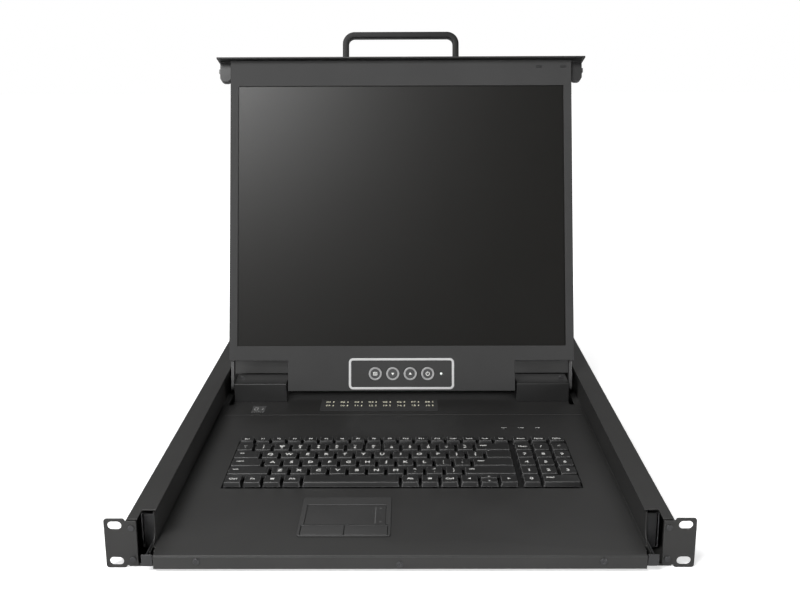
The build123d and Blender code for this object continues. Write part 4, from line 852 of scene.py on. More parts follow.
class GeometryTrees:
    """Geometry Nodes for what repeats or follows a path."""

    @staticmethod
    def _start(name: str, inputs: dict[str, str]) -> tuple[Wiring, Any, Any]:
        """Starts a tree that works on a geometry.

        Args:
            name: the tree's name.
            inputs: its further inputs and their socket types.

        Returns:
            The tree's wiring, its input node's outputs and its output node's inputs.
        """
        return start_group("GeometryNodeTree", name, {"Geometry": "NodeSocketGeometry", **inputs},
                           {"Geometry": "NodeSocketGeometry"})

    @staticmethod
    def _end(wires: Wiring, shape: Socket, source: Any, target: Any) -> Tree:
        """Ends a tree: its copies become real and get their finish.

        Args:
            wires: the tree's wiring.
            shape: the geometry so far.
            source: the input node's outputs.
            target: the output node's inputs.

        Returns:
            The finished tree.
        """
        real = wires.add("GeometryNodeRealizeInstances", {0: shape}).outputs[0]
        done = wires.add("GeometryNodeSetMaterial", {"Geometry": real, "Material": source["Finish"]})
        return wires.end({target["Geometry"]: done.outputs[0]})

    @staticmethod
    def _on_points(wires: Wiring, source: Any, inputs: dict[str, Any]) -> Socket:
        """Copies of the template on the points of the tree's geometry.

        Args:
            wires: the tree's wiring.
            source: the input node's outputs.
            inputs: what else the node takes.

        Returns:
            The copies' socket.
        """
        shape = wires.add("GeometryNodeObjectInfo", {"Object": source["Template"]}).outputs["Geometry"]
        return wires.add("GeometryNodeInstanceOnPoints", {"Points": source["Geometry"], "Instance": shape,
                                                          **inputs}).outputs[0]

    @staticmethod
    @functools.cache
    def copies() -> Tree:
        """Copies of a template on points, each turned at random about Z by up to Turn.

        Returns:
            The node group.
        """
        wires, source, target = GeometryTrees._start("copies_on_points", {
            "Template": "NodeSocketObject", "Turn": "NodeSocketFloat", "Seed": "NodeSocketInt",
            "Finish": "NodeSocketMaterial"})
        share = wires.add("FunctionNodeRandomValue", {"Seed": source["Seed"]}, data_type="FLOAT").outputs[1]
        rotation = wires.add("ShaderNodeCombineXYZ", {"Z": wires.math("MULTIPLY", share, source["Turn"])})
        placed = GeometryTrees._on_points(wires, source, {"Rotation": rotation.outputs[0]})
        return GeometryTrees._end(wires, placed, source, target)

    @staticmethod
    @functools.cache
    def keycaps() -> Tree:
        """Keycaps on points: each template corner moves out with the width and depth that its point gives.

        Returns:
            The node group.
        """
        wires, source, target = GeometryTrees._start("keycaps", {
            "Template": "NodeSocketObject", "Unit Width": "NodeSocketFloat", "Unit Depth": "NodeSocketFloat",
            "Finish": "NodeSocketMaterial"})
        placed = GeometryTrees._on_points(wires, source, {})
        real = wires.add("GeometryNodeRealizeInstances", {0: placed}).outputs[0]
        grown = []
        for label, unit in (("width", "Unit Width"), ("depth", "Unit Depth")):
            size = wires.add("GeometryNodeInputNamedAttribute", {"Name": label}, data_type="FLOAT").outputs[0]
            grown.append(wires.math("MULTIPLY", wires.math("SUBTRACT", size, source[unit]), 0.5))
        corner = wires.add("GeometryNodeInputNamedAttribute", {"Name": "corner"}, data_type="FLOAT_VECTOR")
        reach = wires.add("ShaderNodeCombineXYZ", {0: grown[0], 1: grown[1]}).outputs[0]
        moved = wires.add("ShaderNodeVectorMath", {0: corner.outputs[0], 1: reach}, operation="MULTIPLY")
        spread = wires.add("GeometryNodeSetPosition", {"Geometry": real, "Offset": moved.outputs[0]})
        return GeometryTrees._end(wires, spread.outputs[0], source, target)

    @staticmethod
    @functools.cache
    def bar() -> Tree:
        """A bar with rounded edges that follows a path with rounded corners.

        Returns:
            The node group.
        """
        wires, source, target = GeometryTrees._start("bent_bar", {
            "Corner": "NodeSocketFloat", "Width": "NodeSocketFloat", "Height": "NodeSocketFloat",
            "Edge": "NodeSocketFloat", "Finish": "NodeSocketMaterial"})

        def rounded(curve: Socket, steps: int, radius: Socket) -> Socket:
            """Rounds a curve's corners.

            Args:
                curve: the curve.
                steps: how many points each corner gets.
                radius: the corners' radius.

            Returns:
                The rounded curve's socket.
            """
            return wires.add("GeometryNodeFilletCurve", {"Curve": curve, "Count": steps, "Radius": radius,
                                                         "Limit Radius": True}, mode="POLY").outputs[0]

        path = wires.add("GeometryNodeMeshToCurve", {"Mesh": source["Geometry"]}).outputs[0]
        level = wires.add("GeometryNodeSetCurveNormal", {"Curve": rounded(path, 12, source["Corner"])},
                          mode="Z_UP")
        section = wires.add("GeometryNodeCurvePrimitiveQuadrilateral", {"Width": source["Width"],
                                                                        "Height": source["Height"]}).outputs[0]
        swept = wires.add("GeometryNodeCurveToMesh", {
            "Curve": level.outputs[0], "Profile Curve": rounded(section, 5, source["Edge"]), "Fill Caps": True})
        return GeometryTrees._end(wires, swept.outputs[0], source, target)

    @staticmethod
    def grow(tree: Tree, start: bpy.types.Mesh, values: dict[str, Any]) -> Mesh:
        """Runs a tree on a mesh and keeps the result as plain mesh.

        Args:
            tree: the Geometry Nodes tree.
            start: the mesh that it works on.
            values: its named inputs.

        Returns:
            The result, with its faces pointing outwards.
        """
        holder = bpy.data.objects.new("growing", start)
        bpy.context.scene.collection.objects.link(holder)
        modifier = holder.modifiers.new("grow", "NODES")
        modifier.node_group = tree
        for item in tree.interface.items_tree:
            if item.item_type == "SOCKET" and item.in_out == "INPUT" and item.name in values:
                modifier[item.identifier] = values[item.name]
        holder.update_tag()
        bpy.context.view_layer.update()
        grown = bpy.data.meshes.new_from_object(holder.evaluated_get(bpy.context.evaluated_depsgraph_get()))
        result = bmesh.new()
        result.from_mesh(grown)
        bmesh.ops.remove_doubles(result, verts=result.verts, dist=WELD)
        bmesh.ops.recalc_face_normals(result, faces=result.faces)
        bpy.data.objects.remove(holder)
        bpy.data.meshes.remove(grown)
        return result

    @classmethod
    def repeat(cls, template: Mesh, points: Sequence[Vector], finish: Finish, place: Matrix,
               turn: float = 0.0) -> Mesh:
        """Copies of a template at points of one plane.

        Args:
            template: the shape to repeat, which is freed.
            points: the places, in the plane's frame.
            finish: the copies' finish.
            place: the plane's frame.
            turn: how far each copy may be turned about the plane's normal.

        Returns:
            All the copies in one mesh.
        """
        shape = Maker.object("template", template, None)
        start = bpy.data.meshes.new("points")
        start.from_pydata([tuple(p) for p in points], [], [])
        grown = cls.grow(cls.copies(), start, {"Template": shape, "Turn": turn, "Seed": SEED,
                                               "Finish": finish.material()})
        grown.transform(place)
        bpy.data.objects.remove(shape)
        return grown


# ---------------------------------------------------------------- screws

@dataclass
class ScrewHead:
    """A low round head with a cross recess, made once and repeated on points.

    The profile gives widths as shares of the radius, and heights as shares of the height.
    """

    PROFILE: ClassVar[tuple[Point, ...]] = ((1, 0), (1, 0.35), (0.93, 0.72), (0.78, 1))
    CROSS_REACH: ClassVar[float] = 0.58
    CROSS_HALF: ClassVar[float] = 0.15
    CROSS_TAPER: ClassVar[float] = 0.8

    radius: float
    height: float
    recess: float = 0.5 * MM

    def template(self) -> Mesh:
        """The head.

        Returns:
            Its mesh, standing on Z = 0.
        """
        mesh = bmesh.new()
        rows = [[mesh.verts.new((x, y, share * self.height)) for x, y in Maker.circle(width * self.radius)]
                for width, share in self.PROFILE]
        Maker.walls(mesh, rows)
        mesh.faces.new(list(reversed(rows[0])))
        arm, half = self.radius * self.CROSS_REACH, self.radius * self.CROSS_HALF
        cross = [(half, half), (half, arm), (-half, arm), (-half, half), (-arm, half), (-arm, -half),
                 (-half, -half), (-half, -arm), (half, -arm), (half, -half), (arm, -half), (arm, half)]
        top = [mesh.verts.new((x, y, self.height)) for x, y in cross]
        floor = [mesh.verts.new((x * self.CROSS_TAPER, y * self.CROSS_TAPER, self.height - self.recess))
                 for x, y in cross]
        rim = [mesh.edges.new(ends) for ends in zip(top, top[1:] + top[:1])]
        outer = [mesh.edges.get(ends) for ends in zip(rows[-1], rows[-1][1:] + rows[-1][:1])]
        bmesh.ops.triangle_fill(mesh, edges=rim + outer, use_beauty=True)
        Maker.walls(mesh, [top, floor])
        mesh.faces.new(floor)
        return mesh


# ---------------------------------------------------------------- case and slides

@dataclass
class Case:
    """The fixed case: floor, side walls, rack ears, rear brackets, rivets and shouldered screws."""

    def build(self) -> None:
        """Builds and dresses the case."""
        Maker.soften("case_floor", "case_floor_sheet", Edge.SHEET)
        for side in Side:
            for node, name in (("case_side", "case_wall"), ("rack_ear", "front_ear"),
                               ("rear_bracket", "rear_ear")):
                Maker.soften(f"{node}_{side.word}", f"{name}_{side.word}", Edge.SHEET)
        Maker.soften("case_screws", "case_rivets", Edge.SHEET)


@dataclass
class Slides:
    """The ball slides on both sides."""

    def build(self) -> None:
        """Dresses the slide members and their ball cages."""
        for side in Side:
            for member in ("outer", "middle", "inner"):
                finish = Shop.DARK_ZINC if member == "inner" else Shop.ZINC
                Maker.soften(f"slide_{member}_{side.word}", f"{member}_slide_{side.word}", Edge.SHEET, finish)
            for cage in ("outer", "inner"):
                Maker.dress(f"{cage}_ball_cage_{side.word}")


# ---------------------------------------------------------------- drawer

@dataclass
class Drawer:
    """The sliding drawer: tray, deck, control strip, hinge blocks and rear cover."""

    front_screw_height: float = 0.9 * MM
    top_screw_height: float = 0.4 * MM
    recess_share: float = 0.6

    def build(self) -> None:
        """Builds and dresses the drawer's metalwork and its screws."""
        for node, name, edge in (
                ("drawer_tray", "tray", Edge.SHEET), ("keyboard_deck", "deck", Edge.SHEET),
                ("control_strip", "strip_under_display", Edge.SHEET), ("rear_cover", "bay_cover", Edge.SHEET),
                ("rear_panel", "back_wall", Edge.CRISP), ("power_supply", "supply_box", Edge.MOULDED)):
            Maker.soften(node, name, edge)
        Maker.dress("kvm_board")
        Maker.dress("keyboard_base")
        for side in Side:
            Maker.soften(f"hinge_block_{side.word}", f"hinge_casting_{side.word}", Edge.MOULDED, Shop.HINGE, 3)
        self.screws()

    def screws(self) -> None:
        """Builds the cross-recessed screws of the front strip and of the rear cover."""
        boxes = islands("drawer_screws")
        whole = bmesh.new()
        for group, facing, height in (
                ([box for box in boxes if box[1].y < 0], Matrix.Rotation(math.pi / 2, 4, "X"),
                 self.front_screw_height),
                ([box for box in boxes if box[1].y >= 0], LEVEL, self.top_screw_height)):
            points = []
            for low, high in group:
                centre = (low + high) / 2
                face = (centre.x, centre.y, high.z - height) if facing is LEVEL else \
                    (centre.x, low.y + height, centre.z)
                points.append(facing.inverted() @ Vector(face))
            low, high = group[0]
            head = ScrewHead((high.x - low.x) / 2, height, self.recess_share * height).template()
            copies = GeometryTrees.repeat(head, points, Shop.SCREW, facing, turn=SCREW_TURN)
            keep = bpy.data.meshes.new("heads")
            copies.to_mesh(keep)
            copies.free()
            whole.from_mesh(keep)
            bpy.data.meshes.remove(keep)
        piece = Maker.object("cover_screws", whole, Shop.SCREW, outward=False)
        Maker.mount(piece, "drawer_screws", ["drawer_screws"])


# ---------------------------------------------------------------- keyboard

@dataclass
class Keyboard:
    """The keys, with dished caps and printed legends."""

    cap_height: float = 4.4 * MM
    slope: float = 1.15 * MM
    dish: float = 0.28 * MM
    corner: float = 1.6 * MM
    stem_radius: float = 2.4 * MM
    stem_reach: float = 11.4 * MM
    stem_gap: float = 0.01 * MM
    legend_size: float = 5.6 * MM
    letter_share: float = 1.25
    word_share: float = 0.86
    squeeze: float = 0.85
    line_step: float = 0.92
    print_depth: float = 0.4 * MM
    print_rise: float = 0.06 * MM
    print_back: float = 0.6 * MM
    print_margin: float = 1.8 * MM
    half_key: float = 12 * MM
    low_key: float = 16 * MM
    wide_key: float = 22 * MM
    widest_key: float = 25 * MM
    rows: dict[str, list[str]] = field(default_factory=lambda: {
        "function_keys": ["Esc", "F1", "F2", "F3", "F4", "F5", "F6", "F7", "F8", "F9", "F10", "F11", "F12",
                          "PrtSc", "ScrLk", "Pause", "Ins"],
        "number_keys": ["~\n`", "!\n1", "@\n2", "#\n3", "$\n4", "%\n5", "^\n6", "&\n7", "*\n8", "(\n9", ")\n0",
                        "_\n-", "+\n=", "Bksp"],
        "top_letter_keys": ["Tab", *"QWERTYUIOP", "{\n[", "}\n]", "|\n\\"],
        "home_letter_keys": ["Caps", *"ASDFGHJKL", ":\n;", "\"\n'", "Enter"],
        "lower_letter_keys": ["Shift", *"ZXCVBNM", "<\n,", ">\n.", "?\n/", "Shift"],
        "bottom_keys": ["Ctrl", "Fn", "sign square", "Alt", "Alt", "sign square", "Ctrl", "sign left", "sign down",
                        "sign up", "sign right"],
        "space_bar": [""],
        "keypad_keys": [],
    })

    def template(self, width: float, depth: float) -> Thing:
        """One keycap of the unit size, with the corner that each vertex belongs to.

        Args:
            width: the unit's width.
            depth: the unit's depth.

        Returns:
            The template, with its top face's height at 0.
        """
        mesh = bmesh.new()
        corner = mesh.verts.layers.float_vector.new("corner")
        inset = self.slope
        spare = min(width, depth) / 2 - inset
        levels = [(0.0, -self.cap_height), (inset * 0.45, -self.cap_height * 0.5), (inset, -0.42 * MM),
                  (inset + 0.12 * MM, -0.14 * MM), (inset + 0.42 * MM, 0.0),
                  (inset + 0.35 * spare, -self.dish * 0.6), (inset + 0.7 * spare, -self.dish)]
        rows = []
        for shrink, z in levels:
            radius = max(0.4 * MM, self.corner - shrink * 0.35)
            ring = Maker.rounded_rectangle(width - 2 * shrink, depth - 2 * shrink, radius, 3)
            rows.append([mesh.verts.new((x, y, z)) for x, y in ring])
        for row in rows:
            for vertex in row:
                vertex[corner] = (math.copysign(1, vertex.co.x), math.copysign(1, vertex.co.y), 0)
        Maker.walls(mesh, rows, ends=True)
        stem = [[mesh.verts.new((x, y, z)) for x, y in Maker.circle(self.stem_radius, 10)]
                for z in (-self.stem_reach, -self.cap_height - self.stem_gap)]
        Maker.walls(mesh, stem, ends=True)
        return Maker.object("keycap", mesh, None, smooth=40.0, outward=False)

    def build(self) -> None:
        """Builds every row of keys and its legends."""
        for row, legends in self.rows.items():
            keys = islands(row)
            if row == "keypad_keys":
                legends = self.keypad_legends(keys)
            elif row == "bottom_keys":
                keys = sorted(keys, key=lambda key: (round(key[0].x, 4), key[0].y))
            self.row(row, keys)
            self.print_row(row, keys, legends)

    def row(self, row: str, keys: Sequence[Key]) -> None:
        """Builds one row of caps on its body.

        Args:
            row: the CAD node of the row.
            keys: the boxes of its keys.
        """
        unit_width = min(high.x - low.x for low, high in keys)
        unit_depth = min(high.y - low.y for low, high in keys)
        start = bpy.data.meshes.new("key_places")
        start.from_pydata([((low.x + high.x) / 2, (low.y + high.y) / 2, high.z) for low, high in keys], [], [])
        for label, axis in (("width", 0), ("depth", 1)):
            layer = start.attributes.new(label, "FLOAT", "POINT")
            layer.data.foreach_set("value", [high[axis] - low[axis] for low, high in keys])
        cap = self.template(unit_width, unit_depth)
        grown = GeometryTrees.grow(GeometryTrees.keycaps(), start, {
            "Template": cap, "Unit Width": unit_width, "Unit Depth": unit_depth, "Finish": Shop.KEY.material()})
        bpy.data.objects.remove(cap)
        piece = Maker.object(f"{row}_caps", grown, Shop.KEY, smooth=40.0, outward=False)
        Maker.mount(piece, row, [row])

    def keypad_legends(self, keys: Sequence[Key]) -> list[str]:
        """The legends of the keypad.

        Args:
            keys: the boxes of its keys.

        Returns:
            Their legends, in the same order.
        """
        grid = {0: ["0", "1", "4", "7", "Num", "Home"], 1: [".", "2", "5", "8", "/", "PgUp"],
                2: ["", "3", "6", "9", "*", "PgDn"]}
        columns = sorted({round(low.x, 4) for low, _ in keys})
        legends = []
        for low, high in keys:
            column = columns.index(round(low.x, 4))
            if high.x - low.x > self.widest_key:
                legends.append("Enter")
                continue
            same = sorted(k[0].y for k in keys if round(k[0].x, 4) == round(low.x, 4))
            rank = same.index(low.y) + (6 - len(same))
            legends.append(grid[column][rank])
        return legends

    def print_row(self, row: str, keys: Sequence[Key], legends: Sequence[str]) -> None:
        """Prints the legends of one row.

        Args:
            row: the CAD node of the row.
            keys: the boxes of its keys.
            legends: the text of each key, or the word sign and a sign's name.
        """
        mesh = bmesh.new()
        for (low, high), legend in zip(keys, legends):
            if not legend:
                continue
            depth = high.y - low.y
            centre = Vector(((low.x + high.x) / 2, (low.y + high.y) / 2 + self.print_back,
                             high.z - self.dish + self.print_rise))
            if legend.startswith("sign"):
                self.sign(mesh, legend.split()[1], centre, depth < self.half_key)
                continue
            lines = legend.split("\n")
            letter = len(lines) == 1 and len(legend) == 1
            size = self.legend_size * (self.letter_share if letter else 1.0 if len(lines) > 1 else self.word_share)
            for tight in (depth < self.low_key, len(legend) > 4):
                size *= self.squeeze if tight else 1.0
            step = self.line_step * size
            for i, line in enumerate(lines):
                y = centre.y + (len(lines) - 1) * step / 2 - i * step
                wide = high.x - low.x > self.wide_key and not letter
                start = (low.x + self.slope + self.print_margin, y + 0.35 * size) if wide else (centre.x, y)
                Maker.letters(mesh, line, size, at(*start, centre.z), self.print_depth, centred=not wide)
        if not mesh.verts:
            mesh.free()
            return
        piece = Maker.object(f"{row}_legends", mesh, Shop.LEGEND, outward=False)
        Maker.mount(piece, row)

    def sign(self, mesh: Mesh, name: str, centre: Vector, small: bool) -> None:
        """Prints an arrow or a square sign on a key.

        Args:
            mesh: the mesh to add to.
            name: left, right, up, down or square.
            centre: the middle of the key's top.
            small: whether the key is half as deep.
        """
        reach = 1.1 * MM if small else 1.7 * MM
        if name == "square":
            Maker.block(mesh, (2.2 * reach, 1.9 * reach, 0.3 * MM), -self.print_depth, 0.0, at(*centre))
            return
        turn = {"right": 0, "up": 90, "left": 180, "down": 270}[name]
        Maker.arrow(mesh, (reach, 0.7 * reach, 0.95 * reach), -self.print_depth, 0.0, at(*centre), turn)


# ---------------------------------------------------------------- touchpad

@dataclass
class Touchpad:
    """The touchpad with its rim, its scroll strip and its two buttons."""

    face_half: float = 35 * MM
    face_from_back: float = 15.5 * MM
    strip_size: tuple[float, float, float] = (0.5 * MM, 33 * MM, 0.2 * MM)
    strip_from_corner: Point = (9.0 * MM, 19.5 * MM)
    arrow_from_corner: Point = (4.6 * MM, 6 * MM)
    arrow_step: float = 27 * MM
    arrow_shape: tuple[float, float, float] = (1.2 * MM, 0.8 * MM, 1.2 * MM)
    print_from: float = -0.3 * MM
    print_to: float = 0.02 * MM
    print_finish: Finish = Finish("dim_pad_print", (0.13, 0.13, 0.13), 0.5, edge_radius=0.05, dust=0.0)

    def build(self) -> None:
        """Builds and dresses the touchpad."""
        Maker.soften("touchpad_frame", "pad_rim", Edge.MOULDED, Shop.PAD_RIM)
        Maker.soften("touchpad", "pad_surface", Edge.CRISP, Shop.PAD)
        for side in Side:
            Maker.soften(f"touchpad_button_{side.word}", f"pad_key_{side.word}", Edge.CRISP, Shop.PAD_RIM)
        self.scroll_strip()

    def scroll_strip(self) -> None:
        """The printed scroll strip at the pad's right edge."""
        rim_low, rim_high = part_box("touchpad_frame")
        corner = Vector(((rim_low.x + rim_high.x) / 2 + self.face_half, rim_high.y - self.face_from_back,
                         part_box("touchpad")[1].z))
        mesh = bmesh.new()
        x, y = self.strip_from_corner
        Maker.block(mesh, self.strip_size, self.print_from, self.print_to,
                    at(corner.x - x, corner.y - y, corner.z))
        x, y = self.arrow_from_corner
        for i, turn in enumerate((90, 270)):
            Maker.arrow(mesh, self.arrow_shape, self.print_from, self.print_to,
                        at(corner.x - x, corner.y - y - i * self.arrow_step, corner.z), turn)
        Maker.mount(Maker.object("scroll_marks", mesh, self.print_finish), "touchpad")


# ---------------------------------------------------------------- lights

@dataclass
class Indicators:
    """The port lights, the lock lights and the station number."""

    digit_size: float = 5.6 * MM
    word_size: float = 2.7 * MM
    columns: int = 8
    panel_margin: float = 4 * MM
    rows_from_hinge: float = 15.2 * MM
    row_half: float = 5.8 * MM
    digits_left: float = 1.6 * MM
    lamps_right: float = 4.2 * MM
    lamp_half: float = 1.1 * MM
    lamp_radius: float = 0.8 * MM
    print_depth: float = 0.2 * MM
    print_rise: float = 0.02 * MM
    words_back: float = 2.4 * MM
    wide_panel: float = 20 * MM
    lens_width: float = 5 * MM
    bar_length: float = 3.2 * MM
    bar_width: float = 0.75 * MM
    bar_reach: float = 3.6 * MM
    digit_pitch: float = 5.6 * MM
    window_finish: Finish = Finish("station_window_grey", (0.07, 0.07, 0.07), 0.3, grain=0.3, relief=0.02)

    def build(self) -> None:
        """Builds the overlay, its print and its lamps."""
        Maker.soften("indicator_panel", "port_overlay", Edge.CRISP, Shop.FILM)
        self.ports()
        self.locks()
        self.station()

    def ports(self) -> None:
        """Prints the sixteen port numbers, which carry a painted glow, and sets two small lamps beside each."""
        low, high = next(box for box in islands("indicator_panel") if box[1].x - box[0].x > self.wide_panel)
        pitch = (high.x - low.x - self.panel_margin) / self.columns
        first = (low.x + high.x) / 2 - (self.columns - 1) / 2 * pitch
        middle = JOINTS["display_hinge"]["pos_m"][1] - self.rows_from_hinge
        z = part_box("indicator_panel")[1].z + self.print_rise
        numbers, lamps = bmesh.new(), []
        for i in range(self.columns):
            for row, y in enumerate((middle + self.row_half, middle - self.row_half)):
                x = first + i * pitch
                Maker.letters(numbers, f"{i + 1 + self.columns * row:02d}", self.digit_size,
                              at(x - self.digits_left, y, z), self.print_depth, centred=True)
                lamps += [Vector((x + self.lamps_right, y + up * self.lamp_half, z)) for up in (1, -1)]
        Maker.mount(Maker.object("port_numbers", numbers, Shop.DIGITS, outward=False), "indicator_panel")
        lamp = bmesh.new()
        Maker.lathe(lamp, [(self.lamp_radius, -0.2 * MM), (self.lamp_radius, 0.05 * MM), (0.5 * MM, 0.16 * MM)],
                    LEVEL, 10)
        grown = GeometryTrees.repeat(lamp, lamps, Shop.DIGITS, LEVEL)
        Maker.mount(Maker.object("port_lamps", grown, Shop.DIGITS, outward=False), "indicator_panel")

    def locks(self) -> None:
        """Prints the names of the three lock lights behind their lenses."""
        words = bmesh.new()
        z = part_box("keyboard_deck")[1].z + self.print_rise
        lenses = [box for box in islands("indicator_panel") if box[1].x - box[0].x < self.lens_width]
        for (low, high), word in zip(lenses, ("NUM", "CAPS", "SCR")):
            Maker.letters(words, word, self.word_size, at((low.x + high.x) / 2, high.y + self.words_back, z),
                          self.print_depth, centred=True)
        Maker.mount(Maker.object("lock_words", words, Shop.LEGEND, outward=False), "indicator_panel")

    def station(self) -> None:
        """The two seven-bar digits of the station number, 01, on their window."""
        Maker.soften("station_display", "station_window", Edge.CRISP, self.window_finish)
        low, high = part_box("station_display")
        mesh = bmesh.new()
        reach = self.bar_reach
        bars = {"a": (0, reach, 0), "b": (1, reach / 2, 1), "c": (1, -reach / 2, 1), "d": (0, -reach, 0),
                "e": (-1, -reach / 2, 1), "f": (-1, reach / 2, 1)}
        for i, lit in enumerate(("abcdef", "bc")):
            x = (low.x + high.x) / 2 + (i - 0.5) * self.digit_pitch
            y = (low.y + high.y) / 2
            for across, up, tall in (bars[bar] for bar in lit):
                width, depth = (self.bar_width, self.bar_length) if tall else (self.bar_length, self.bar_width)
                Maker.block(mesh, (width, depth, 0.3 * MM), -self.print_depth, 0.03 * MM,
                            at(x + across * self.bar_length / 2, y + up, high.z))
        Maker.mount(Maker.object("station_digits", mesh, Shop.PRINT), "station_display")


# ---------------------------------------------------------------- display

@dataclass
class Display:
    """The hinged display: shells, screen, front plate, handle, latches, arms and buttons."""

    place: Matrix = field(default_factory=display_place)
    handle_thick: float = 7 * MM
    handle_corner: float = 10.2 * MM
    handle_edge: float = 1.4 * MM
    trim_corner: float = 3.6 * MM
    trim_line: float = 2.6 * MM
    trim_edge: float = 0.2 * MM
    flange_thick: float = 1.2 * MM
    ring_inner: float = 5.4 * MM
    ring_bevel: float = 0.35 * MM
    print_depth: float = 0.25 * MM
    print_below_ring: float = 0.33 * MM
    lamp_from_middle: float = 45.4 * MM
    bumpers_from_middle: Point = (160 * MM, 188 * MM)
    bumpers_above_screen: float = 16 * MM
    screws_from_edge: Point = (12 * MM, 14 * MM)

    def build(self) -> None:
        """Builds and dresses the display."""
        for node, name, edge, finish in (
                ("display_bezel", "bezel_shell", Edge.SHEET, Shop.BEZEL),
                ("display_cover", "back_shell", Edge.SHEET, Shop.BACK),
                ("lcd_panel", "screen", Edge.CRISP, Shop.SCREEN),
                ("front_plate", "closing_plate", Edge.SHEET, Shop.PLATE),
                ("button_board", "button_circuit", Edge.CRISP, Shop.BOARD)):
            Maker.soften(node, name, edge, finish)
        for side in Side:
            Maker.soften(f"latch_{side.word}", f"latch_bolt_{side.word}", Edge.CRISP)
            Maker.soften(f"hinge_arm_{side.word}", f"display_arm_{side.word}", Edge.SHEET, Shop.ARM)
        self.handle()
        self.outline()
        self.lamp_and_bumpers()
        self.back_screws()
        for name in ("menu", "down", "up", "power"):
            self.button(name)

    def bent_bar(self, name: str, node: str, path: Sequence[Point], closed: bool, section: dict[str, float],
                 finish: Finish, place: Matrix) -> None:
        """Replaces a node with a bent bar.

        Args:
            name: the bar's name.
            node: the CAD node.
            path: the corners of its middle line.
            closed: whether the line is closed.
            section: the radius of its bends, and its width, height and edge radius.
            finish: its finish.
            place: where the line lies in the display's frame.
        """
        line = bpy.data.meshes.new(f"{name}_path")
        ends = [(i, i + 1) for i in range(len(path) - 1)] + ([(len(path) - 1, 0)] if closed else [])
        line.from_pydata([(x, y, 0) for x, y in path], ends, [])
        grown = GeometryTrees.grow(GeometryTrees.bar(), line, {**section, "Finish": finish.material()})
        grown.transform(self.place @ place)
        Maker.mount(Maker.object(name, grown, finish, outward=False), node, [node])

    def handle(self) -> None:
        """The bent bar of the pull handle."""
        low, high = box_in("pull_handle", self.place)
        half, top = (high.x - low.x - self.handle_thick) / 2, high.y - self.handle_thick / 2
        path = [(-half, low.y), (-half, top), (half, top), (half, low.y)]
        self.bent_bar("handle_bar", "pull_handle", path, False,
                      {"Corner": self.handle_corner, "Width": self.handle_thick, "Height": high.z - low.z,
                       "Edge": self.handle_edge}, Shop.HANDLE, at(0, 0, (low.z + high.z) / 2))

    def outline(self) -> None:
        """The silver outline around the screen buttons. Half its bar lies below the bezel's face."""
        low, high = box_in("button_trim", self.place)
        x, y = high.x - self.trim_line / 2, (high.y - low.y) / 2 - self.trim_line / 2
        height = high.z - low.z
        self.bent_bar("silver_frame", "button_trim", [(-x, -y), (x, -y), (x, y), (-x, y)], True,
                      {"Corner": self.trim_corner, "Width": self.trim_line, "Height": 2 * height,
                       "Edge": self.trim_edge}, Shop.SILVER, at(0, (low.y + high.y) / 2, high.z - height))

    def lamp_and_bumpers(self) -> None:
        """The power lamp beside the buttons, and two rubber bumpers on the bezel's upper edge."""
        face = box_in("display_bezel", self.place)[1].z
        low, high = box_in("up_button", self.place)
        lamp, bumpers = bmesh.new(), bmesh.new()
        Maker.lathe(lamp, [(1.5 * MM, -0.4 * MM), (1.5 * MM, 0.1 * MM), (1.2 * MM, 0.35 * MM),
                           (0.6 * MM, 0.5 * MM)],
                    self.place @ at(self.lamp_from_middle, (low.y + high.y) / 2, face), 20)
        Maker.mount(Maker.object("power_lamp", lamp, Shop.LAMP), "display_bezel", slot="display_window")
        y = box_in("lcd_panel", self.place)[1].y + self.bumpers_above_screen
        for x in self.bumpers_from_middle:
            Maker.block(bumpers, (7 * MM, 3 * MM, 1.3 * MM), -0.3 * MM, 0.5 * MM, self.place @ at(x, y, face),
                        steps=4, edge=0.25 * MM)
        Maker.mount(Maker.object("bezel_bumpers", bumpers, Shop.RUBBER), "display_bezel", slot="latch_plastic")

    def back_screws(self) -> None:
        """The screws around the back shell."""
        low, high = box_in("display_cover", self.place)
        middle, reach = (low + high) / 2, (high - low) / 2
        aside, above = self.screws_from_edge
        places = [Vector((-x * (reach.x - aside), middle.y + y * (reach.y - above), 0))
                  for x in (-1, 0, 1) for y in (-1, 0, 1) if x or y]
        back = self.place @ at(0, 0, low.z) @ Matrix.Rotation(math.pi, 4, "Y")
        heads = GeometryTrees.repeat(ScrewHead(2.8 * MM, 0.7 * MM, 0.45 * MM).template(), places, Shop.SCREW,
                                     back, turn=SCREW_TURN)
        Maker.mount(Maker.object("back_shell_screws", heads, Shop.SCREW, outward=False), "display_cover",
                    slot="screw_steel")

    def button(self, name: str) -> None:
        """A round button with a silver ring and a printed sign.

        Args:
            name: menu, down, up or power.
        """
        node = f"{name}_button"
        low, high = box_in(node, self.place)
        centre, flange, top = (low + high) / 2, (high.x - low.x) / 2, high.z
        step = low.z + self.flange_thick
        place = self.place @ at(centre.x, centre.y)
        cap, ring, sign = bmesh.new(), bmesh.new(), bmesh.new()
        Maker.lathe(cap, [(flange, low.z), (flange, step), (self.ring_inner, step),
                          (self.ring_inner, top - 0.35 * MM), (self.ring_inner - 0.5 * MM, top - 0.3 * MM),
                          (2.6 * MM, top - 0.45 * MM)], place, 40)
        Maker.mount(Maker.object(f"{name}_cap", cap, Shop.BUTTON), node, [node])
        Maker.tube(ring, Maker.circle(flange - self.flange_thick, 40),
                   Maker.circle(self.ring_inner + 0.02 * MM, 40), step, top, place)
        piece = Maker.object(f"{name}_ring", ring, Shop.RING)
        bevel = piece.modifiers.new("rounded edges", "BEVEL")
        bevel.width, bevel.segments, bevel.use_clamp_overlap = self.ring_bevel, 3, True
        Maker.mount(piece, node)
        self.sign(sign, name, place @ at(0, 0, top - self.print_below_ring))
        Maker.mount(Maker.object(f"{name}_sign", sign, Shop.LEGEND), node)

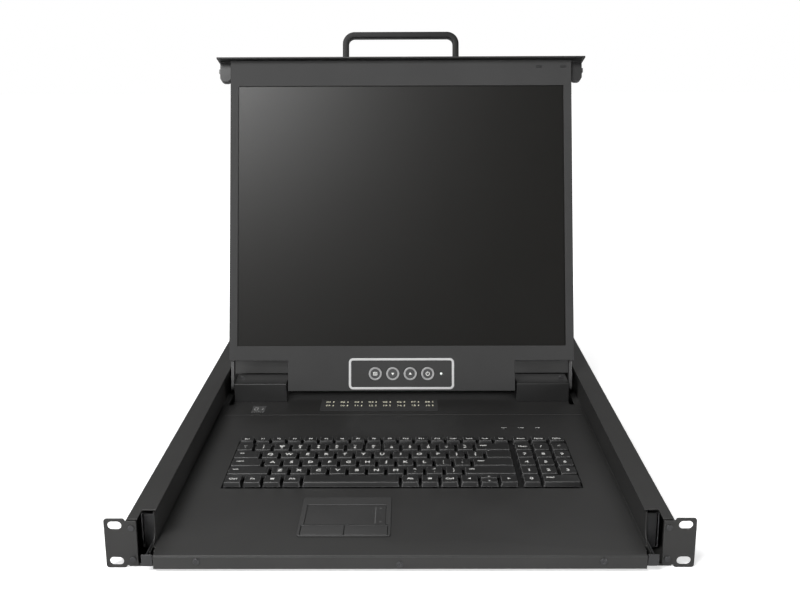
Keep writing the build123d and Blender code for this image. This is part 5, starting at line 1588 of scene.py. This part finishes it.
    def sign(self, mesh: Mesh, name: str, place: Matrix) -> None:
        """The printed sign of a button: a small menu page, an arrow or a power ring.

        Args:
            mesh: the mesh to add to.
            name: menu, down, up or power.
            place: the middle of its face.
        """
        deep = -self.print_depth
        if name == "menu":
            Maker.tube(mesh, Maker.rounded_rectangle(4.6 * MM, 3.8 * MM, 0.5 * MM, 2),
                       Maker.rounded_rectangle(3.4 * MM, 2.6 * MM, 0.3 * MM, 2), deep, 0.0, place)
            for y in (-0.55 * MM, 0.45 * MM):
                Maker.block(mesh, (2.3 * MM, 0.5 * MM, 0.2 * MM), deep, 0.0, place @ at(0, y))
        elif name == "power":
            steps, gap = 40, 64
            arc = [math.radians(90 + gap / 2 + i * (360 - gap) / steps) for i in range(steps + 1)]
            ring = [(radius * math.cos(a), radius * math.sin(a))
                    for radius, way in ((2.3 * MM, 1), (1.65 * MM, -1)) for a in arc[::way]]
            Maker.slab(mesh, ring, deep, 0.0, place)
            Maker.block(mesh, (0.65 * MM, 2.3 * MM, 0.2 * MM), deep, 0.0, place @ at(0, 1.5 * MM))
        else:
            Maker.arrow(mesh, (1.7 * MM, 1.0 * MM, 1.75 * MM), deep, 0.0, place, 90 if name == "up" else 270)


# ---------------------------------------------------------------- back of the drawer

@dataclass
class RearSockets:
    """The computer sockets and the mains inlet."""

    flange_sheet: float = 1.0 * MM
    flange_size: tuple[float, float, float] = (30.8 * MM, 12.4 * MM, 1.5 * MM)
    body_size: tuple[float, float, float] = (19 * MM, 10 * MM, 1 * MM)
    body_depth: float = 11 * MM
    shell_size: tuple[float, float, float] = (17.0 * MM, 8.4 * MM, 1.6 * MM)
    shell_length: float = 5.5 * MM
    shell_sheet: float = 0.55 * MM
    shell_flare: float = 0.09
    core_inset: float = 0.6 * MM
    post_reach: float = 12.5 * MM
    post_size: tuple[float, float, float] = (2.3 * MM, 1.3 * MM, 3.2 * MM)
    pin_radius: float = 0.48 * MM
    pin_pitch: Point = (2.3 * MM, 2.0 * MM)
    middle_row_shift: float = 0.3

    def build(self) -> None:
        """Builds the sockets with their shells, insulators and posts, and black discs that paint the shade of the
        pin holes.
        """
        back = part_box("port_sockets")[1].y - self.flange_sheet - self.shell_length
        facing = at(0, back) @ Matrix.Rotation(-math.pi / 2, 4, "X") @ Matrix.Rotation(math.pi, 4, "Z")
        flat = [facing.inverted() @ Vector(((low.x + high.x) / 2, back, (low.z + high.z) / 2))
                for low, high in islands("port_sockets")]
        top = self.flange_sheet + self.shell_length
        face = top - self.core_inset
        shell, core, pin = bmesh.new(), bmesh.new(), bmesh.new()
        Maker.block(shell, self.flange_size, 0, self.flange_sheet, LEVEL, steps=4, edge=0.3 * MM)
        Maker.block(shell, self.body_size, -self.body_depth, 0.0, LEVEL, steps=4)
        Maker.tube(shell, self.d_shape(0.0), self.d_shape(self.shell_sheet), self.flange_sheet, top, LEVEL)
        outer, inner, height = self.post_size
        for x in (-self.post_reach, self.post_reach):
            Maker.tube(shell, Maker.circle(outer, 6), Maker.circle(inner, 6), self.flange_sheet,
                       self.flange_sheet + height, at(x, 0))
        Maker.slab(core, self.d_shape(self.core_inset), self.flange_sheet, face, LEVEL)
        # The pin holes are black discs on the insulator face: painted shade, not cut holes.
        Maker.lathe(pin, [(self.pin_radius, -0.2 * MM), (self.pin_radius, 0.03 * MM)], LEVEL, 8)
        across, up = self.pin_pitch
        holes = [p + Vector(((i - 2 + shift) * across, (1 - row) * up, face + 0.02 * MM))
                 for p in flat for row, shift in enumerate((0.0, self.middle_row_shift, 0.0)) for i in range(5)]
        for name, template, points, finish, replaced in (
                ("socket_shells", shell, flat, Shop.SOCKET, ["port_sockets"]),
                ("socket_insulators", core, flat, Shop.INSULATOR, []),
                ("socket_pin_holes", pin, holes, Shop.HOLE, [])):
            grown = GeometryTrees.repeat(template, points, finish, facing)
            Maker.mount(Maker.object(name, grown, finish, outward=False), "port_sockets", replaced)
        Maker.soften("power_inlet", "mains_inlet", Edge.CRISP, Shop.INLET)

    def d_shape(self, inset: float) -> list[Point]:
        """The D-shaped outline of a socket.

        Args:
            inset: how far it is drawn in.

        Returns:
            The outline's points.
        """
        width, depth, radius = self.shell_size
        outline = Maker.rounded_rectangle(width - 2 * inset, depth - 2 * inset, radius - inset * 0.6, 4)
        return [(x * (1 + self.shell_flare * y / (depth / 2)), y) for x, y in outline]


# ---------------------------------------------------------------- studio

@dataclass
class Studio:
    """Floor, backdrop light, soft lights and camera."""

    eye: tuple[float, float, float] = (0.0060, -0.7701, 0.4020)
    pitch: float = 14.35
    yaw: float = -0.373
    roll: float = -0.2313
    lens: float = 46.6
    sensor: float = 36.0
    floor_size: float = 14.0
    floor_corner: float = 2.0
    floor_thick: float = 0.02
    floor_gap: float = 0.0002
    fade_from: float = 0.40
    fade_to: float = 1.0
    floor_near: float = 0.56
    room_rise: Point = (0.12, 0.50)
    room_low: float = 0.30
    room_high: float = 0.05

    def build(self) -> None:
        """Builds the studio around the drawer."""
        self.floor()
        self.world()
        self.lights()
        self.camera()

    def floor(self) -> None:
        """A large pale floor just under the drawer, which fades into the white backdrop."""
        mesh = bmesh.new()
        low = CAD_BOX[0].z
        Maker.block(mesh, (self.floor_size, self.floor_size, self.floor_corner), low - self.floor_thick,
                    low - self.floor_gap, LEVEL, steps=4)
        floor = Maker.object("floor", mesh, Shop.FLOOR)
        wires = Wiring(floor.data.materials[0].node_tree)
        shader = wires.tree.nodes["Principled BSDF"]
        seen = wires.add("ShaderNodeLightPath").outputs["Is Camera Ray"]
        place = wires.add("ShaderNodeTexCoord").outputs["Object"]
        reach = wires.add("ShaderNodeVectorMath", {0: place}, operation="LENGTH").outputs["Value"]
        fade = wires.add("ShaderNodeMapRange", {0: reach, 1: self.fade_from, 2: self.fade_to,
                                                3: self.floor_near, 4: 1.0})
        wires.tree.links.new(wires.math("MULTIPLY", seen, fade.outputs[0]), shader.inputs["Emission Strength"])
        shader.inputs["Emission Color"].default_value = (1.0, 1.0, 1.0, 1.0)

    def world(self) -> None:
        """A pale backdrop, and a softer, dimmer room that the drawer reflects."""
        world = bpy.data.worlds.new("studio")
        bpy.context.scene.world = world
        world.use_nodes = True
        wires = Wiring(world.node_tree)
        shader = world.node_tree.nodes["Background"]
        path = wires.add("ShaderNodeLightPath")
        view = wires.add("ShaderNodeTexCoord")
        height = wires.add("ShaderNodeSeparateXYZ", {0: view.outputs["Generated"]})
        start, end = self.room_rise
        rise = wires.add("ShaderNodeMapRange", {0: height.outputs["Z"], 1: start, 2: end, 3: self.room_low,
                                                4: self.room_high}, interpolation_type="SMOOTHSTEP")
        room = wires.add("ShaderNodeCombineXYZ", {0: rise.outputs[0], 1: rise.outputs[0], 2: rise.outputs[0]})
        colour = wires.mix(path.outputs["Is Camera Ray"], room.outputs[0], (1.0, 1.0, 1.0, 1.0))
        world.node_tree.links.new(colour, shader.inputs["Color"])

    def lamp(self, name: str, place: Sequence[float], target: Sequence[float], size: tuple[float, float],
             power: float) -> None:
        """Adds a soft rectangular light.

        Args:
            name: its name.
            place: where it hangs.
            target: the point that it faces.
            size: its width and height.
            power: its power in watts.
        """
        light = bpy.data.lights.new(name, "AREA")
        light.shape = "RECTANGLE"
        light.size, light.size_y = size
        light.energy = power
        holder = bpy.data.objects.new(name, light)
        holder.location = place
        holder.rotation_mode = "QUATERNION"
        holder.rotation_quaternion = (Vector(target) - Vector(place)).to_track_quat("-Z", "Y")
        bpy.context.scene.collection.objects.link(holder)

    def lights(self) -> None:
        """The soft lights of the studio."""
        centre = (0.0, 0.3, 0.15)
        self.lamp("behind_above", (0.0, 1.75, 2.15), (0.0, 0.1, 0.0), (3.2, 1.2), 18.0)
        self.lamp("screen_left", (-0.92, -1.25, 1.80), (-0.2, 0.45, 0.3), (1.0, 0.8), 60.0)
        self.lamp("side_left", (-2.1, -1.5, 0.40), centre, (0.9, 0.9), 24.0)
        self.lamp("side_right", (2.1, -1.5, 0.40), centre, (0.9, 0.9), 32.0)

    def camera(self) -> None:
        """The camera, level with the eyes of a person at the rack."""
        pitch, yaw, roll = (math.radians(a) for a in (self.pitch, self.yaw, self.roll))
        ahead = Vector((math.sin(yaw) * math.cos(pitch), math.cos(yaw) * math.cos(pitch), -math.sin(pitch)))
        right = ahead.cross(Vector((0, 0, 1))).normalized()
        above = right.cross(ahead)
        turned_right = math.cos(roll) * right + math.sin(roll) * above
        turned_above = -math.sin(roll) * right + math.cos(roll) * above
        data = bpy.data.cameras.new("camera")
        data.sensor_width, data.lens = self.sensor, self.lens
        data.clip_start, data.clip_end = 0.05, 60.0
        holder = bpy.data.objects.new("camera", data)
        holder.rotation_mode = "QUATERNION"
        turn = Matrix((turned_right, turned_above, -ahead)).transposed()
        holder.rotation_quaternion = turn.to_quaternion()
        holder.location = self.eye
        bpy.context.scene.collection.objects.link(holder)
        bpy.context.scene.camera = holder
        bpy.context.scene.view_settings.view_transform = "Standard"


def main() -> None:
    """Builds every sub-assembly in order, then the studio."""
    logging.basicConfig(level=logging.INFO, format="%(message)s")
    for part in (Case(), Slides(), Drawer(), Keyboard(), Touchpad(), Indicators(), Display(), RearSockets(),
                 Studio()):
        LOG.info("building %s", type(part).__name__)
        part.build()


if __name__ == "__main__":
    main()
